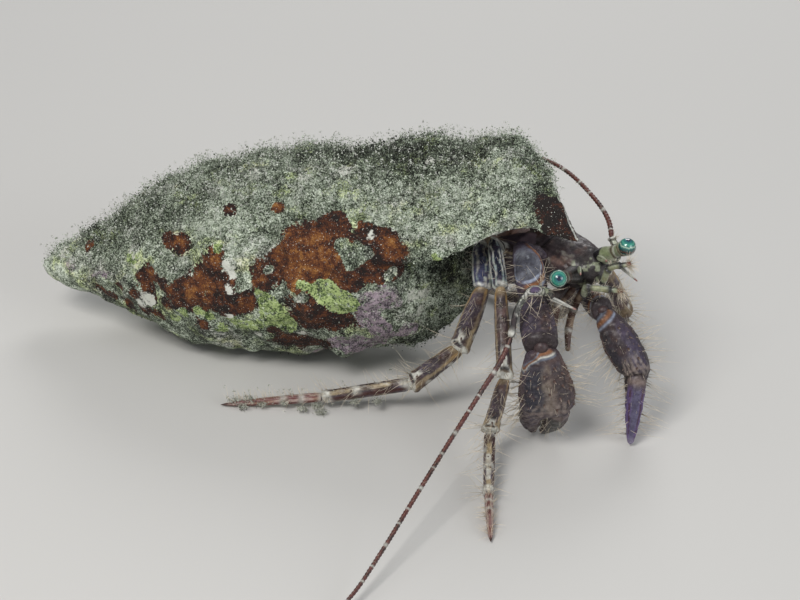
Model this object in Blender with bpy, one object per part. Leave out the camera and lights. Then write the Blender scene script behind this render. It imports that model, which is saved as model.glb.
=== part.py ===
"""A striped hermit crab at life size, standing still in the worn turret shell that it carries.

All sizes and places are in millimetres and are turned into metres when a mesh is made.
+Z is up, z = 0 is the floor, and the origin is the middle of the flat that the shell rests on.
+X runs from the shell's tip towards the animal's head, and -Y is the side of the shell's mouth.
"""

import math

import bmesh
import bpy
import numpy as np

MM = 0.001
GAP = 0.3  # clear space between two pieces that meet

# The shell's axis, from its tip to its mouth end
SHELL_YAW = math.radians(14.0)
SHELL_PITCH = math.radians(9.8)
SHELL_UPRIGHT = (0.0, 0.462, 0.887)  # the way that turn 0 faces
AXIS_HEIGHT = 8.76  # of the axis above the floor, over the flat
FLAT_STATION = 21.4  # how far along the axis the flat lies
FLAT_TURN = math.radians(206.0)  # the side of the shell that faces the floor

# Radius of the shell along its axis, before it closes at its mouth end
SHELL_PROFILE = [
    (0.0, 0.7), (1.6, 1.75), (5.5, 3.1), (10.2, 5.6), (14.9, 7.5), (19.5, 8.45), (24.0, 8.75), (60.0, 8.75),
]
# How the radius shrinks towards the mouth end: distance from the end, share of the full radius
END_PROFILE = [(0.0, 0.07), (0.9, 0.33), (2.8, 0.64), (5.2, 0.93), (8.2, 1.0), (60.0, 1.0)]
# Where that end lies winds forward, and so does the rim: share of a turn past the lip, station on the axis
END_STATIONS = [(0.0, 40.6), (0.25, 41.2), (0.5, 46.0), (0.75, 51.3), (0.88, 54.5), (1.0, 57.0)]
RIM_STATIONS = [(0.0, 40.4), (0.25, 41.0), (0.5, 45.0), (0.75, 48.6), (0.88, 50.0), (1.0, 52.3)]
# The lip's turn in degrees, along the axis
LIP_TURNS = [
    (0.0, 101.0), (40.0, 103.0), (42.0, 101.0), (45.0, 94.0), (48.0, 90.0), (50.0, 94.0), (52.3, 100.0),
]
STEADY_STATION = 34.0  # the coil is even up to here
LIP_WALL = 1.2
HOLLOW_STATIONS = (41.3, 58.3)
HOLLOW_LEAD = math.radians(3.0)  # the hollow opens this far before the lip
HOLLOW_REACH = 14.0
OPEN_SHARE = 0.28  # of a turn past the lip, where nothing closes the hollow
LIP_COLUMNS = np.append(np.arange(54) / 54, 0.992)  # shares of a turn, the last one close before the lip

# The coil: each turn is wider than the last by this ratio, with a row of knobs below its seam
TURN_RATIO = 1.42
FIRST_SEAM = 34.0
KNOB_ROW = 0.14
KNOBS_A_TURN = 9
KNOB_HEIGHT = 0.12  # as a share of the radius
SEAM_DEPTH = 0.035

# Tufts of growth on the upper side: space between them, lowest and highest, and half width
TUFT_SPACING = 3.2
TUFT_HEIGHTS = (0.3, 0.75)
TUFT_HALF = 1.15
TUFT_MIDDLE = math.radians(26.0)  # the turn that faces up
TUFT_SPREAD = math.radians(105.0)
TURF_DEPTH = 0.45  # the even cover of silt and turf between the tufts

# The soft hind body winds back into the shell: its turn, distance from the axis and station
HIND_TURNS = (-20.0, -200.0)
HIND_REACH = (1.8, 4.2)
HIND_STATIONS = (43.9, 34.5)
HIND_RADII = [1.3, 1.9, 2.0, 1.8, 1.2]

# The body's middle, its half sizes, and the way that it faces: forward, left and up
BODY_AT = np.array((24.7, -8.4, 12.9))
BODY_HALF = (4.6, 2.5, 2.1)
FORWARD = np.array((0.682, -0.732, 0.0))
LEFT = np.array((0.693, 0.646, 0.321))

EYE_HALF = 0.76
EYE_CUT = 0.3  # the eye is cut this far behind its middle, where it meets its stalk
STALK_ROWS = [(0, 0.74, 0.74), (0.2, 0.76, 0.76), (0.45, 0.62, 0.62), (0.7, 0.52, 0.52), (1, 0.6, 0.6)]

# Joints of each limb, from the body out to the tip
CLAW_RIGHT = [(21.5, -10.2, 14.4), (22.0, -14.5, 12.4), (22.4, -20.1, 10.5), (23.2, -18.9, 4.3)]
CLAW_TIP_RIGHT = (22.6, -16.2, 0.05)
CLAW_LEFT = [(26.9, -9.9, 9.6), (27.9, -14.2, 10.8), (30.9, -15.8, 5.7)]
CLAW_TIP_LEFT = (30.3, -18.3, 0.05)
LEG2_RIGHT = [
    (18.9, -8.9, 14.3), (19.2, -14.7, 13.1), (19.5, -20.0, 7.5),
    (18.3, -20.5, 2.6), (18.0, -27.6, 0.95), (18.0, -33.5, 0.1),
]
LEG3_RIGHT = [
    (17.8, -7.3, 13.3), (17.8, -12.8, 12.2), (15.9, -13.0, 6.5),
    (11.8, -12.7, 2.8), (4.1, -12.1, 1.15), (-4.9, -11.8, 0.1),
]
LEG2_LEFT = [
    (27.8, -6.4, 12.0), (29.0, -5.2, 9.8), (31.0, -3.0, 5.0),
    (31.0, 0.4, 2.4), (29.6, 6.6, 1.0), (26.9, 13.6, 0.1),
]
LEG3_LEFT = [
    (24.6, -4.2, 11.6), (25.2, -3.4, 9.4), (26.2, -1.2, 4.8),
    (25.4, 2.0, 2.4), (21.2, 7.4, 1.0), (15.4, 12.9, 0.1),
]

# Spines of a segment: how many, first and last place along it, turn to each side of its upper side,
# half width at the foot and height
LEG_SPINES = {
    "merus": (4, 0.25, 0.85, 0.2, 0.2, 0.3),
    "carpus": (4, 0.2, 0.85, 0.25, 0.2, 0.34),
    "propodus": (5, 0.12, 0.85, 0.3, 0.18, 0.28),
}
CLAW_SPINES_RIGHT = {"carpus": (9, 0.3, 0.85, 1.1, 0.24, 0.34)}
CLAW_SPINES_LEFT = {"carpus": (5, 0.4, 0.85, 0.4, 0.22, 0.32)}
PALM_SPINES_RIGHT = (20, 0.22, 0.92, 1.2, 0.25, 0.34)
PALM_SPINES_LEFT = (11, 0.25, 0.9, 0.9, 0.22, 0.32)
SPINE_SINK = 0.25  # how deep a spine's foot lies in the horn
SPINE_LEAN = 0.55  # how far it leans towards the limb's tip
UP_RIGHT = (-0.1, -0.85, 1.0)  # the way that the upper side of right legs faces
UP_LEFT = (0.35, 0.8, 1.0)
UP_CLAW = (0.0, -1.0, 1.0)
UP_HAND = (0.0, -1.0, 0.35)


def unit(vector):
    vector = np.asarray(vector, float)
    return vector / np.linalg.norm(vector)


UP = unit(np.cross(FORWARD, LEFT))


def smooth_steps(table, where):
    """Values at places along a table of (place, value...), on a curve that never overshoots."""
    table = np.asarray(table, float)
    x, values = table[:, 0], table[:, 1:]
    slope = np.diff(values, axis=0) / np.diff(x)[:, None]
    inner = slope[:-1] * slope[1:]
    mean = np.where(inner > 0, 2 * inner / (slope[:-1] + slope[1:] + 1e-12), 0.0)
    tangent = np.vstack([slope[:1], mean, slope[-1:]])
    where = np.clip(np.asarray(where, float), x[0], x[-1])
    i = np.clip(np.searchsorted(x, where, side="right") - 1, 0, len(x) - 2)
    h = (x[i + 1] - x[i])[:, None]
    t = ((where - x[i]) / (x[i + 1] - x[i]))[:, None]
    a, b = values[i], values[i + 1]
    return (
        a * (1 + 2 * t) * (1 - t) ** 2
        + b * t * t * (3 - 2 * t)
        + h * tangent[i] * t * (1 - t) ** 2
        + h * tangent[i + 1] * t * t * (t - 1)
    )


def curve_points(points, count):
    """Evenly spread points on a smooth curve through the given ones."""
    points = np.asarray(points, float)
    steps = np.linalg.norm(np.diff(points, axis=0), axis=1)
    along = np.concatenate([[0], np.cumsum(steps)])
    tangents = np.gradient(points, along, axis=0)
    where = np.linspace(0, along[-1], count)
    i = np.clip(np.searchsorted(along, where, side="right") - 1, 0, len(along) - 2)
    h = (along[i + 1] - along[i])[:, None]
    t = (where - along[i])[:, None] / h
    return (
        points[i] * (1 + 2 * t) * (1 - t) ** 2
        + points[i + 1] * t * t * (3 - 2 * t)
        + h * tangents[i] * t * (1 - t) ** 2
        + h * tangents[i + 1] * t * t * (t - 1)
    )


def material(name, colour, roughness, metallic=0.0):
    made = bpy.data.materials.new(name)
    made.use_nodes = True
    shader = made.node_tree.nodes["Principled BSDF"]
    shader.inputs["Base Color"].default_value = (*colour, 1.0)
    shader.inputs["Roughness"].default_value = roughness
    shader.inputs["Metallic"].default_value = metallic
    return made


def add_object(name, mesh_data, colour, at=(0, 0, 0)):
    """An object whose own origin is at a place in the world, hung from the crab's empty."""
    made = bpy.data.objects.new(name, mesh_data)
    bpy.context.scene.collection.objects.link(made)
    made.location = [value * MM for value in at]
    made.parent = bpy.data.objects["hermit_crab"]
    made.data.materials.append(colour)
    mesh_data.shade_smooth()
    mesh_data.set_sharp_from_angle(angle=math.radians(50))
    return made


def rings_mesh(name, rings, at=(0, 0, 0), ends=()):
    """A closed tube through rings of points, its ends capped flat, or as fans about two end points."""
    rings = (np.asarray(rings, float) - np.asarray(at, float)) * MM
    count, sides = rings.shape[:2]
    data = bmesh.new()
    verts = [[data.verts.new(point) for point in ring] for ring in rings]
    for low, high in zip(verts, verts[1:]):
        for j in range(sides):
            k = (j + 1) % sides
            data.faces.new((low[j], low[k], high[k], high[j]))
    for ring, end in zip((verts[0], verts[-1]), ends):
        peak = data.verts.new((np.asarray(end, float) - np.asarray(at, float)) * MM)
        for j in range(sides):
            data.faces.new((ring[j], ring[(j + 1) % sides], peak))
    if not len(ends):
        data.faces.new(verts[0])
        data.faces.new(verts[-1])
    bmesh.ops.recalc_face_normals(data, faces=data.faces)
    mesh_data = bpy.data.meshes.new(name)
    data.to_mesh(mesh_data)
    data.free()
    return mesh_data


def across(direction, flat):
    """The two directions across a limb: the flat one and the tall one."""
    direction = unit(direction)
    thin = unit(flat - np.dot(flat, direction) * direction)
    return thin, np.cross(direction, thin)


def slide_to(points, direction, plane_at, normal):
    """Moves points along a direction until they lie on a plane."""
    reach = ((plane_at - points) @ normal) / np.dot(direction, normal)
    return points + reach[:, None] * direction


def tube_rings(path, half, flat, sides, start=None, end=None):
    """Oval rings along a path. half gives each ring's half widths, thin then tall.

    start and end, where given, are the planes (point, normal) that the two end rings lie on.
    """
    path = np.asarray(path, float)
    half = np.broadcast_to(np.asarray(half, float).reshape(len(path), -1), (len(path), 2))
    turn = np.arange(sides) * 2 * math.pi / sides
    ways = np.gradient(path, axis=0)
    rings = []
    for centre, way, (thin_half, tall_half) in zip(path, ways, half):
        thin, tall = across(way, flat)
        rings.append(
            centre
            + np.outer(np.cos(turn) * thin_half, thin)
            + np.outer(np.sin(turn) * tall_half, tall)
        )
    if start is not None:
        rings[0] = slide_to(rings[0], unit(path[1] - path[0]), *start)
    if end is not None:
        rings[-1] = slide_to(rings[-1], unit(path[-1] - path[-2]), *end)
    return rings


def on_body(inner, outer):
    """Where the line from a place inside the body to one outside leaves it, and the way out there.

    The body is an egg: a ball stretched by its three half sizes, so the crossing is exact.
    """
    frame = np.array((FORWARD, LEFT, UP))
    start = frame @ (np.asarray(inner, float) - BODY_AT) / BODY_HALF
    step = frame @ (np.asarray(outer, float) - np.asarray(inner, float)) / BODY_HALF
    a, b, c = step @ step, 2 * start @ step, start @ start - 1
    hit = start + (-b + math.sqrt(b * b - 4 * a * c)) / (2 * a) * step
    return BODY_AT + frame.T @ (hit * BODY_HALF), unit(frame.T @ (hit / BODY_HALF))


def body_point(forward, left, up):
    """A place given from the middle of the body, along its own three ways."""
    return BODY_AT + forward * FORWARD + left * LEFT + up * UP


def straight_rings(start, end, rows, flat, sides):
    """Oval rings square to a straight line. A row: place, half widths, and a shift along the tall way."""
    thin, tall = across(end - start, flat)
    turn = np.arange(sides) * 2 * math.pi / sides
    rings = []
    for place, thin_half, tall_half, *shift in rows:
        centre = start + place * (end - start) + sum(shift) * tall
        rings.append(
            centre + np.outer(np.cos(turn) * thin_half, thin) + np.outer(np.sin(turn) * tall_half, tall)
        )
    return rings


def add_piece(name, rings, colour, at):
    """A closed piece from rings, level where it would reach below the floor."""
    rings = np.array(rings)
    rings[..., 2] = np.maximum(rings[..., 2], 0.0)
    return add_object(name, rings_mesh(name, rings, at), colour, at)


def spine_feet(start, end, rows, flat, top, spread):
    """Where each spine stands on an oval segment and the way that it points.

    The spines are spread evenly along it, and their turns from its upper side follow golden steps.
    """
    count, first, last, side = spread
    place = first + (last - first) * (np.arange(count) + 0.5) / count
    turn = side * (2 * ((np.arange(count) * 0.618 + 0.3) % 1.0) - 1)
    way = unit(end - start)
    thin, tall = across(end - start, flat)
    above = unit(top - np.dot(top, way) * way)
    out = np.outer(np.cos(turn), above) + np.outer(np.sin(turn), np.cross(way, above))
    half = smooth_steps([row[:3] for row in rows], place)
    reach = 1 / np.hypot(out @ thin / half[:, 0], out @ tall / half[:, 1])
    feet = start + place[:, None] * (end - start) + reach[:, None] * out
    return feet, out + SPINE_LEAN * way


def grow_spines(made, feet, ways, half, height):
    """Fuses tapered spines to a piece by one union, and keeps the one closed surface that this gives."""
    group = bpy.data.collections.new(f"{made.name}_spines")
    bpy.context.scene.collection.children.link(group)
    turn = np.arange(5) * 2 * math.pi / 5
    for foot, way in zip(feet, ways):
        way = unit(way)
        thin, tall = across(way, np.array((0.31, 0.27, 0.91)))
        ring = foot + half * (np.outer(np.cos(turn), thin) + np.outer(np.sin(turn), tall)) - 0.08 * way
        mesh_data = rings_mesh("spine", [ring], ends=(foot - SPINE_SINK * way, foot + height * way))
        group.objects.link(bpy.data.objects.new("spine", mesh_data))
    fuse = made.modifiers.new("fuse", "BOOLEAN")
    fuse.operation = "UNION"
    fuse.solver = "MANIFOLD"
    fuse.operand_type = "COLLECTION"
    fuse.collection = group
    bpy.context.view_layer.update()
    fused = bpy.data.meshes.new_from_object(made.evaluated_get(bpy.context.evaluated_depsgraph_get()))
    made.modifiers.clear()
    made.data = fused
    for spine in list(group.objects):
        bpy.data.objects.remove(spine)
    bpy.data.collections.remove(group)
    keep_largest(fused)


def limb(name, root, joints, parts, flat, colour, sides, top, spines):
    """Segments from the body outwards, each meeting the next on the plane that halves their bend.

    Gives back the last joint that a segment reaches, and the plane there.
    """
    point, normal = on_body(root, joints[0])
    nodes = [point + GAP * normal] + [np.array(joint) for joint in joints]
    ways = [unit(b - a) for a, b in zip(nodes, nodes[1:])]
    normals = [normal] + [unit(a + b) for a, b in zip(ways, ways[1:])] + [ways[-1]]
    for i, (suffix, rows) in enumerate(parts):
        rings = straight_rings(nodes[i], nodes[i + 1], rows, flat, sides)
        low_gap = GAP / 2 if i else 0.0
        rings[0] = slide_to(rings[0], ways[i], nodes[i] + low_gap * normals[i], normals[i])
        if i + 1 < len(joints):
            rings[-1] = slide_to(
                rings[-1], ways[i], nodes[i + 1] - GAP / 2 * normals[i + 1], normals[i + 1]
            )
        made = add_piece(f"{name}_{suffix}", rings, colour, nodes[i])
        if suffix in spines:
            *spread, half, height = spines[suffix]
            feet = spine_feet(nodes[i], nodes[i + 1], rows, flat, np.array(top), spread)
            grow_spines(made, *feet, half, height)
    return nodes[len(parts)], normals[len(parts)]


def hand(name, wrist, wrist_normal, palm_end, tip, shape, spines, flat, colour, sides=14):
    """A palm that ends in its fixed finger, and the moving finger that stands beside that."""
    palm_rows, fixed_rows, finger_rows = shape
    palm_end, tip = np.array(palm_end), np.array(tip)
    way, finger_way = unit(palm_end - wrist), unit(tip - palm_end)
    palm = straight_rings(wrist, palm_end, palm_rows, flat, sides)
    palm[0] = slide_to(palm[0], way, wrist + GAP / 2 * wrist_normal, wrist_normal)
    fixed = straight_rings(palm_end, tip, fixed_rows, flat, sides)
    fixed[0] = slide_to(fixed[0], finger_way, palm_end, way)
    made = add_piece(f"{name}_palm", palm + fixed, colour, wrist)
    *spread, half, height = spines
    grow_spines(made, *spine_feet(wrist, palm_end, palm_rows, flat, np.array(UP_HAND), spread), half, height)
    finger = straight_rings(palm_end, tip, finger_rows, flat, sides)
    finger[0] = slide_to(finger[0], finger_way, palm_end + GAP * way, way)
    add_piece(f"{name}_finger", finger, colour, palm_end)


def shell_axes():
    """The shell's own three ways in the world: along its axis, upright, and outwards from its lip."""
    along = np.array((
        math.cos(SHELL_YAW) * math.cos(SHELL_PITCH),
        -math.sin(SHELL_YAW) * math.cos(SHELL_PITCH),
        math.sin(SHELL_PITCH),
    ))
    upright = np.array(SHELL_UPRIGHT)
    upright = unit(upright - np.dot(upright, along) * along)
    return along, upright, np.cross(along, upright)


def shell_place(station, turn, reach):
    """World places from a station along the axis, an angle around it and a distance from it.

    The shell's tip is put where the middle of the flat comes to the origin.
    """
    along, upright, outward = shell_axes()
    down = math.cos(FLAT_TURN) * upright + math.sin(FLAT_TURN) * outward
    tip = down * AXIS_HEIGHT / down[2] - along * FLAT_STATION
    station, turn, reach = (np.asarray(value, float)[..., None] for value in (station, turn, reach))
    return tip + station * along + reach * (np.cos(turn) * upright + np.sin(turn) * outward)


def lip_turn(station):
    return np.radians(smooth_steps(LIP_TURNS, np.ravel(station))[:, 0]).reshape(np.shape(station))


def tuft_places():
    """Station, turn and height of each tuft: rows along the axis, each shaken by chance."""
    chance = np.random.default_rng(11)
    places = []
    for station in np.arange(5.0, 47.0, 0.85 * TUFT_SPACING):
        radius = smooth_steps(SHELL_PROFILE, [station])[0, 0]
        count = max(int(2 * TUFT_SPREAD * radius / TUFT_SPACING), 1)
        turn = TUFT_MIDDLE + TUFT_SPREAD * (2 * (np.arange(count) + chance.uniform(0, 1)) / count - 1)
        shake = chance.uniform(-0.8, 0.8, (2, count))
        height = chance.uniform(*TUFT_HEIGHTS, count) * min(radius / 5.0, 1.0)
        places.append(np.column_stack([station + shake[0], turn + shake[1] / radius, height]))
    return np.vstack(places)


def tuft_relief(station, turn, radius):
    """Height of the tufts: a bell over each place, lower where two overlap."""
    places = tuft_places()
    along = station[..., None] - places[:, 0]
    around = np.angle(np.exp(1j * (turn[..., None] - places[:, 1]))) * radius[..., None]
    bells = places[:, 2] * np.exp(-(along**2 + around**2) / TUFT_HALF**2)
    return bells.max(axis=-1)


def shell_radius(station, turn, end):
    """Distance of the shell's surface from its axis, with its seams, knobs and lumps."""
    flat_station = station.ravel()
    base = smooth_steps(SHELL_PROFILE, flat_station)[:, 0].reshape(station.shape)
    closing = smooth_steps(END_PROFILE, (end - station).ravel())[:, 0].reshape(station.shape)
    wound = np.log(np.maximum(station, 0.5) / FIRST_SEAM) / math.log(TURN_RATIO)
    phase = (wound - turn / (2 * math.pi)) % 1.0
    from_row = (phase - KNOB_ROW + 0.5) % 1.0 - 0.5
    lobes = np.maximum(np.cos((turn - FLAT_TURN) * KNOBS_A_TURN), 0.0) ** 1.5
    worn = 0.65 + 0.35 * np.cos(turn - FLAT_TURN)
    knobs = KNOB_HEIGHT * worn * lobes * np.exp(-((from_row / 0.12) ** 2)) * np.minimum(station / 20.0, 1.0)
    seam = SEAM_DEPTH * np.exp(-(((phase - 0.97) / 0.08) ** 2))
    lumps = (
        0.022 * np.sin(0.55 * station + 2 * turn)
        + 0.018 * np.sin(1.15 * station - 3 * turn + 1.7)
        + 0.012 * np.sin(1.9 * station + 5 * turn + 0.6)
    )
    facing_up = np.clip(0.35 + 1.4 * np.cos(turn - TUFT_MIDDLE), 0.0, 1.0)
    turf = TURF_DEPTH * facing_up * np.minimum(station / 10.0, 1.0)
    relief = base * (knobs - seam + lumps) + turf + tuft_relief(station, turn, base)
    return closing * (base + relief * np.clip((end - station) / 6.0, 0.0, 1.0))


def shell_grid(share, steps):
    """Stations and turns of the shell's surface: share of a turn past the lip, steps along the axis.

    Past the steady part the stations are stretched to reach the end, which winds forward with the turn.
    """
    last = END_STATIONS[-1][1]
    step, share = np.meshgrid(steps, share, indexing="ij")
    end = smooth_steps(END_STATIONS, share.ravel())[:, 0].reshape(share.shape)
    stretch = (end - STEADY_STATION) / (last - STEADY_STATION)
    station = np.where(step < STEADY_STATION, step, STEADY_STATION + (step - STEADY_STATION) * stretch)
    return station, lip_turn(step) + 2 * math.pi * share, end


def cutter(name, mesh_data):
    made = bpy.data.objects.new(name, mesh_data)
    bpy.context.scene.collection.objects.link(made)
    made.parent = bpy.data.objects["hermit_crab"]
    made.hide_render = True
    made.display_type = "WIRE"
    return made


def ball_rings(middle, ways, half, count, sides):
    """Rings of an egg-shaped ball from pole to pole, along its first way."""
    turn = np.arange(sides) * 2 * math.pi / sides
    rings = []
    for angle in np.linspace(0.04, math.pi - 0.04, count):
        side = np.outer(np.cos(turn) * half[1], ways[1]) + np.outer(np.sin(turn) * half[2], ways[2])
        rings.append(middle - math.cos(angle) * half[0] * ways[0] + math.sin(angle) * side)
    return rings


def hind_path(extra):
    """The line that the soft hind body follows, from the front body's rear into the shell."""
    share = np.linspace(0, 1 + extra / 12, 15)
    turn = np.radians(HIND_TURNS[0] + (HIND_TURNS[1] - HIND_TURNS[0]) * share)
    reach = HIND_REACH[0] + (HIND_REACH[1] - HIND_REACH[0]) * share**0.6
    station = HIND_STATIONS[0] + (HIND_STATIONS[1] - HIND_STATIONS[0]) * share
    inner = shell_place(station, turn, reach)
    point, normal = on_body(BODY_AT, BODY_AT - FORWARD)
    return np.vstack([point + GAP * normal, inner]), normal


def hind_rings(extra, sides):
    """The soft hind body, or with some extra width the room that it lies in."""
    path, normal = hind_path(extra)
    place = np.linspace(0, 1, len(HIND_RADII))
    radii = smooth_steps(np.column_stack([place, HIND_RADII]), np.linspace(0, 1, len(path)))
    return tube_rings(path, radii + extra, shell_axes()[0], sides, start=(path[0], normal))


def build_shell(colour):
    """The coiled shell: a wound surface, hollowed behind its lip and cut level where it rests."""
    last = END_STATIONS[-1][1]
    steps = last * np.concatenate([np.linspace(0, 0.65, 37) ** 1.1 / 0.65**0.1, np.linspace(0.67, 1, 19)])
    station, turn, end = shell_grid(LIP_COLUMNS, steps)
    rings = shell_place(station, turn, shell_radius(station, turn, end))
    shell = add_object("shell", rings_mesh("shell", rings), colour)
    ends = shell_place(HOLLOW_STATIONS, 0.0, 0.0)
    hollow = cutter("hollow_cutter", rings_mesh("hollow", hollow_rings(), ends=ends))
    room = cutter("room_cutter", rings_mesh("room", hind_rings(GAP, 16)))
    for tool in (hollow, room):
        cut = shell.modifiers.new(tool.name, "BOOLEAN")
        cut.operation = "DIFFERENCE"
        cut.solver = "MANIFOLD"
        cut.object = tool
    bpy.context.view_layer.update()
    cut_data = bpy.data.meshes.new_from_object(shell.evaluated_get(bpy.context.evaluated_depsgraph_get()))
    shell.modifiers.clear()
    shell.data = cut_data
    rest_on_floor(cut_data)
    keep_largest(cut_data)


def hollow_rings():
    """The space under the lip: a wall's thickness inside the shell up to its rim, wide open past that."""
    first, last = HOLLOW_STATIONS
    share, along = np.meshgrid(LIP_COLUMNS, np.linspace(0, 1, 12))
    end, rim = (
        smooth_steps(table, share.ravel())[:, 0].reshape(share.shape)
        for table in (END_STATIONS, RIM_STATIONS)
    )
    rim = np.where(share < OPEN_SHARE, RIM_STATIONS[-1][1], np.maximum(rim, first + 0.1))
    station = first + along * (rim - first)
    turn = lip_turn(first + along * (RIM_STATIONS[-1][1] - first)) + 2 * math.pi * share - HOLLOW_LEAD
    reach = np.maximum(shell_radius(station, turn, end) - LIP_WALL, 1.0)
    reach = np.where(share < OPEN_SHARE, HOLLOW_REACH, reach)
    station = np.vstack([station, rim[-1:], np.full_like(rim[-1:], last)])
    reach = np.vstack([reach, np.full_like(reach[:2], HOLLOW_REACH)])
    turn = np.vstack([turn, turn[-1:], turn[-1:]])
    return shell_place(station, turn, reach)


def rest_on_floor(mesh_data):
    """Cuts off what hangs below the floor, which leaves the flat that the shell rests on."""
    data = bmesh.new()
    data.from_mesh(mesh_data)
    parts = data.verts[:] + data.edges[:] + data.faces[:]
    cut = bmesh.ops.bisect_plane(
        data, geom=parts, dist=1e-7, plane_co=(0, 0, 0), plane_no=(0, 0, -1), clear_outer=True
    )
    edges = [item for item in cut["geom_cut"] if isinstance(item, bmesh.types.BMEdge)]
    bmesh.ops.holes_fill(data, edges=edges)
    bmesh.ops.recalc_face_normals(data, faces=data.faces)
    data.to_mesh(mesh_data)
    data.free()


def keep_largest(mesh_data):
    """Drops every loose scrap, so that one closed surface is left."""
    data = bmesh.new()
    data.from_mesh(mesh_data)
    left, islands = set(data.faces), []
    while left:
        island, edge_of = set(), [left.pop()]
        while edge_of:
            face = edge_of.pop()
            island.add(face)
            near = {other for edge in face.edges for other in edge.link_faces} & left
            left -= near
            edge_of.extend(near)
        islands.append(island)
    largest = max(islands, key=len)
    scraps = [face for island in islands if island is not largest for face in island]
    bmesh.ops.delete(data, geom=scraps, context="FACES")
    data.to_mesh(mesh_data)
    data.free()


def build_body(colour, soft):
    """The hard front body, and behind it the soft body that winds into the shell."""
    rings = ball_rings(BODY_AT, (FORWARD, LEFT, UP), BODY_HALF, 15, 20)
    add_object("carapace", rings_mesh("carapace", rings, BODY_AT), colour, BODY_AT)
    start = hind_path(0.0)[0][0]
    add_object("abdomen", rings_mesh("abdomen", hind_rings(0.0, 14), start), soft, start)


def build_eye(side, base, cornea, stalk_colour, eye_colour):
    """A stalk, wide at its root and narrow at its neck, and the eye that caps it."""
    point, normal = on_body(base, cornea)
    point = point + GAP * normal
    cornea = np.asarray(cornea, float)
    way = unit(cornea - point)
    stalk_end = cornea - way * (EYE_CUT + GAP)
    rings = straight_rings(point, stalk_end, STALK_ROWS, UP, 12)
    rings[0] = slide_to(rings[0], way, point, normal)
    add_piece(f"eyestalk_{side}", rings, stalk_colour, point)
    angles = np.linspace(math.acos(EYE_CUT / EYE_HALF), math.pi - 0.12, 7)
    rows = [(-math.cos(angle), math.sin(angle), math.sin(angle)) for angle in angles]
    rings = straight_rings(cornea, cornea + way * EYE_HALF, np.array(rows) * (1, EYE_HALF, EYE_HALF), UP, 14)
    add_piece(f"eye_{side}", rings, eye_colour, cornea)


def feeler(name, points, radii, count, sides, colour, start=None, end=None):
    """A smooth bent tube through a few points."""
    path = curve_points(points, count)
    place = np.linspace(0, 1, len(radii))
    half = smooth_steps(np.column_stack([place, radii]), np.linspace(0, 1, count))
    rings = tube_rings(path, half, np.array((0.31, 0.27, 0.91)), sides, start, end)
    add_object(name, rings_mesh(name, rings, path[0]), colour, path[0])


def rooted_feeler(name, root, points, radii, count, sides, colour):
    """A feeler that starts on the body's surface."""
    point, normal = on_body(root, points[0])
    start = point + GAP * normal
    feeler(name, [start] + list(points), radii, count, sides, colour, start=(start, normal))


def build_head(shades):
    build_eye("right", body_point(2.9, -0.9, 0.1), (23.95, -15.6, 14.5), shades["stalk"], shades["eye"])
    build_eye("left", body_point(2.9, 0.9, 0.2), (29.85, -12.8, 16.05), shades["stalk"], shades["eye"])
    rooted_feeler(
        "antennule_right", body_point(3.2, -0.4, -0.9),
        [(26.3, -14.3, 12.4), (26.4, -15.2, 13.4), (28.0, -15.6, 13.5), (29.4, -15.8, 13.4)],
        [0.38, 0.36, 0.34, 0.32, 0.26], 12, 8, shades["feeler"],
    )
    rooted_feeler(
        "antennule_left", body_point(3.2, 0.4, -0.9),
        [(27.9, -13.4, 13.1), (28.4, -13.9, 14.6), (30.1, -14.3, 15.2)],
        [0.36, 0.34, 0.32, 0.25], 10, 8, shades["feeler"],
    )
    rooted_feeler(
        "maxilliped_right", body_point(2.4, -0.7, -1.2),
        [(24.1, -13.0, 10.2), (23.8, -14.3, 9.2), (23.9, -15.4, 8.1)],
        [0.28, 0.33, 0.32, 0.26], 10, 8, shades["leg"],
    )
    rooted_feeler(
        "maxilliped_left", body_point(2.6, 0.35, -1.2),
        [(25.35, -13.1, 9.6), (25.05, -14.3, 8.5), (25.0, -15.2, 7.4)],
        [0.28, 0.33, 0.32, 0.26], 10, 8, shades["leg"],
    )


# Each antenna: its root's radii and points, the joint, and the points of its whip
ANTENNA_RIGHT = (
    [0.44, 0.48, 0.46, 0.36, 0.29],
    [(24.2, -13.8, 12.15), (23.45, -16.1, 13.2), (22.4, -17.5, 14.3), (21.5, -18.0, 14.5),
     (20.6, -18.8, 13.7)],
    (19.9, -19.8, 11.2),
    [(19.5, -20.5, 10.4), (17.3, -22.9, 7.6), (15.2, -26.2, 5.8), (11.6, -33.3, 3.5), (9.3, -38.0, 2.1),
     (7.1, -42.2, 1.0), (4.6, -46.0, 0.7), (1.6, -49.4, 0.8)],
)
ANTENNA_LEFT = (
    [0.3, 0.3, 0.31, 0.31, 0.31],
    [(29.15, -9.45, 12.75), (29.45, -8.95, 13.4)],
    (29.0, -8.0, 14.6),
    [(28.9, -6.6, 15.2), (27.1, -2.4, 16.6), (25.1, 0.8, 17.2), (22.8, 3.6, 17.1), (20.3, 6.2, 16.4),
     (17.2, 8.6, 15.0), (13.8, 10.4, 13.2), (10.4, 11.6, 11.4)],
)


def build_antenna(side, root_in, route, colour):
    """A stout root that leaves the body, and the long whip that it carries, meeting on one plane."""
    radii, stem, joint, whip = route
    joint = np.array(joint)
    way = unit(np.array(whip[0]) - joint)
    point, normal = on_body(root_in, stem[0])
    start = point + GAP * normal
    low, high = joint - way * GAP / 2, joint + way * GAP / 2
    feeler(
        f"antenna_root_{side}", [start] + stem + [low], radii,
        12, 9, colour, start=(start, normal), end=(low, way),
    )
    feeler(
        f"antenna_whip_{side}", [high] + whip, [0.3, 0.28, 0.26, 0.26, 0.25, 0.25, 0.2, 0.1],
        40, 7, colour, start=(high, way),
    )


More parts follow.
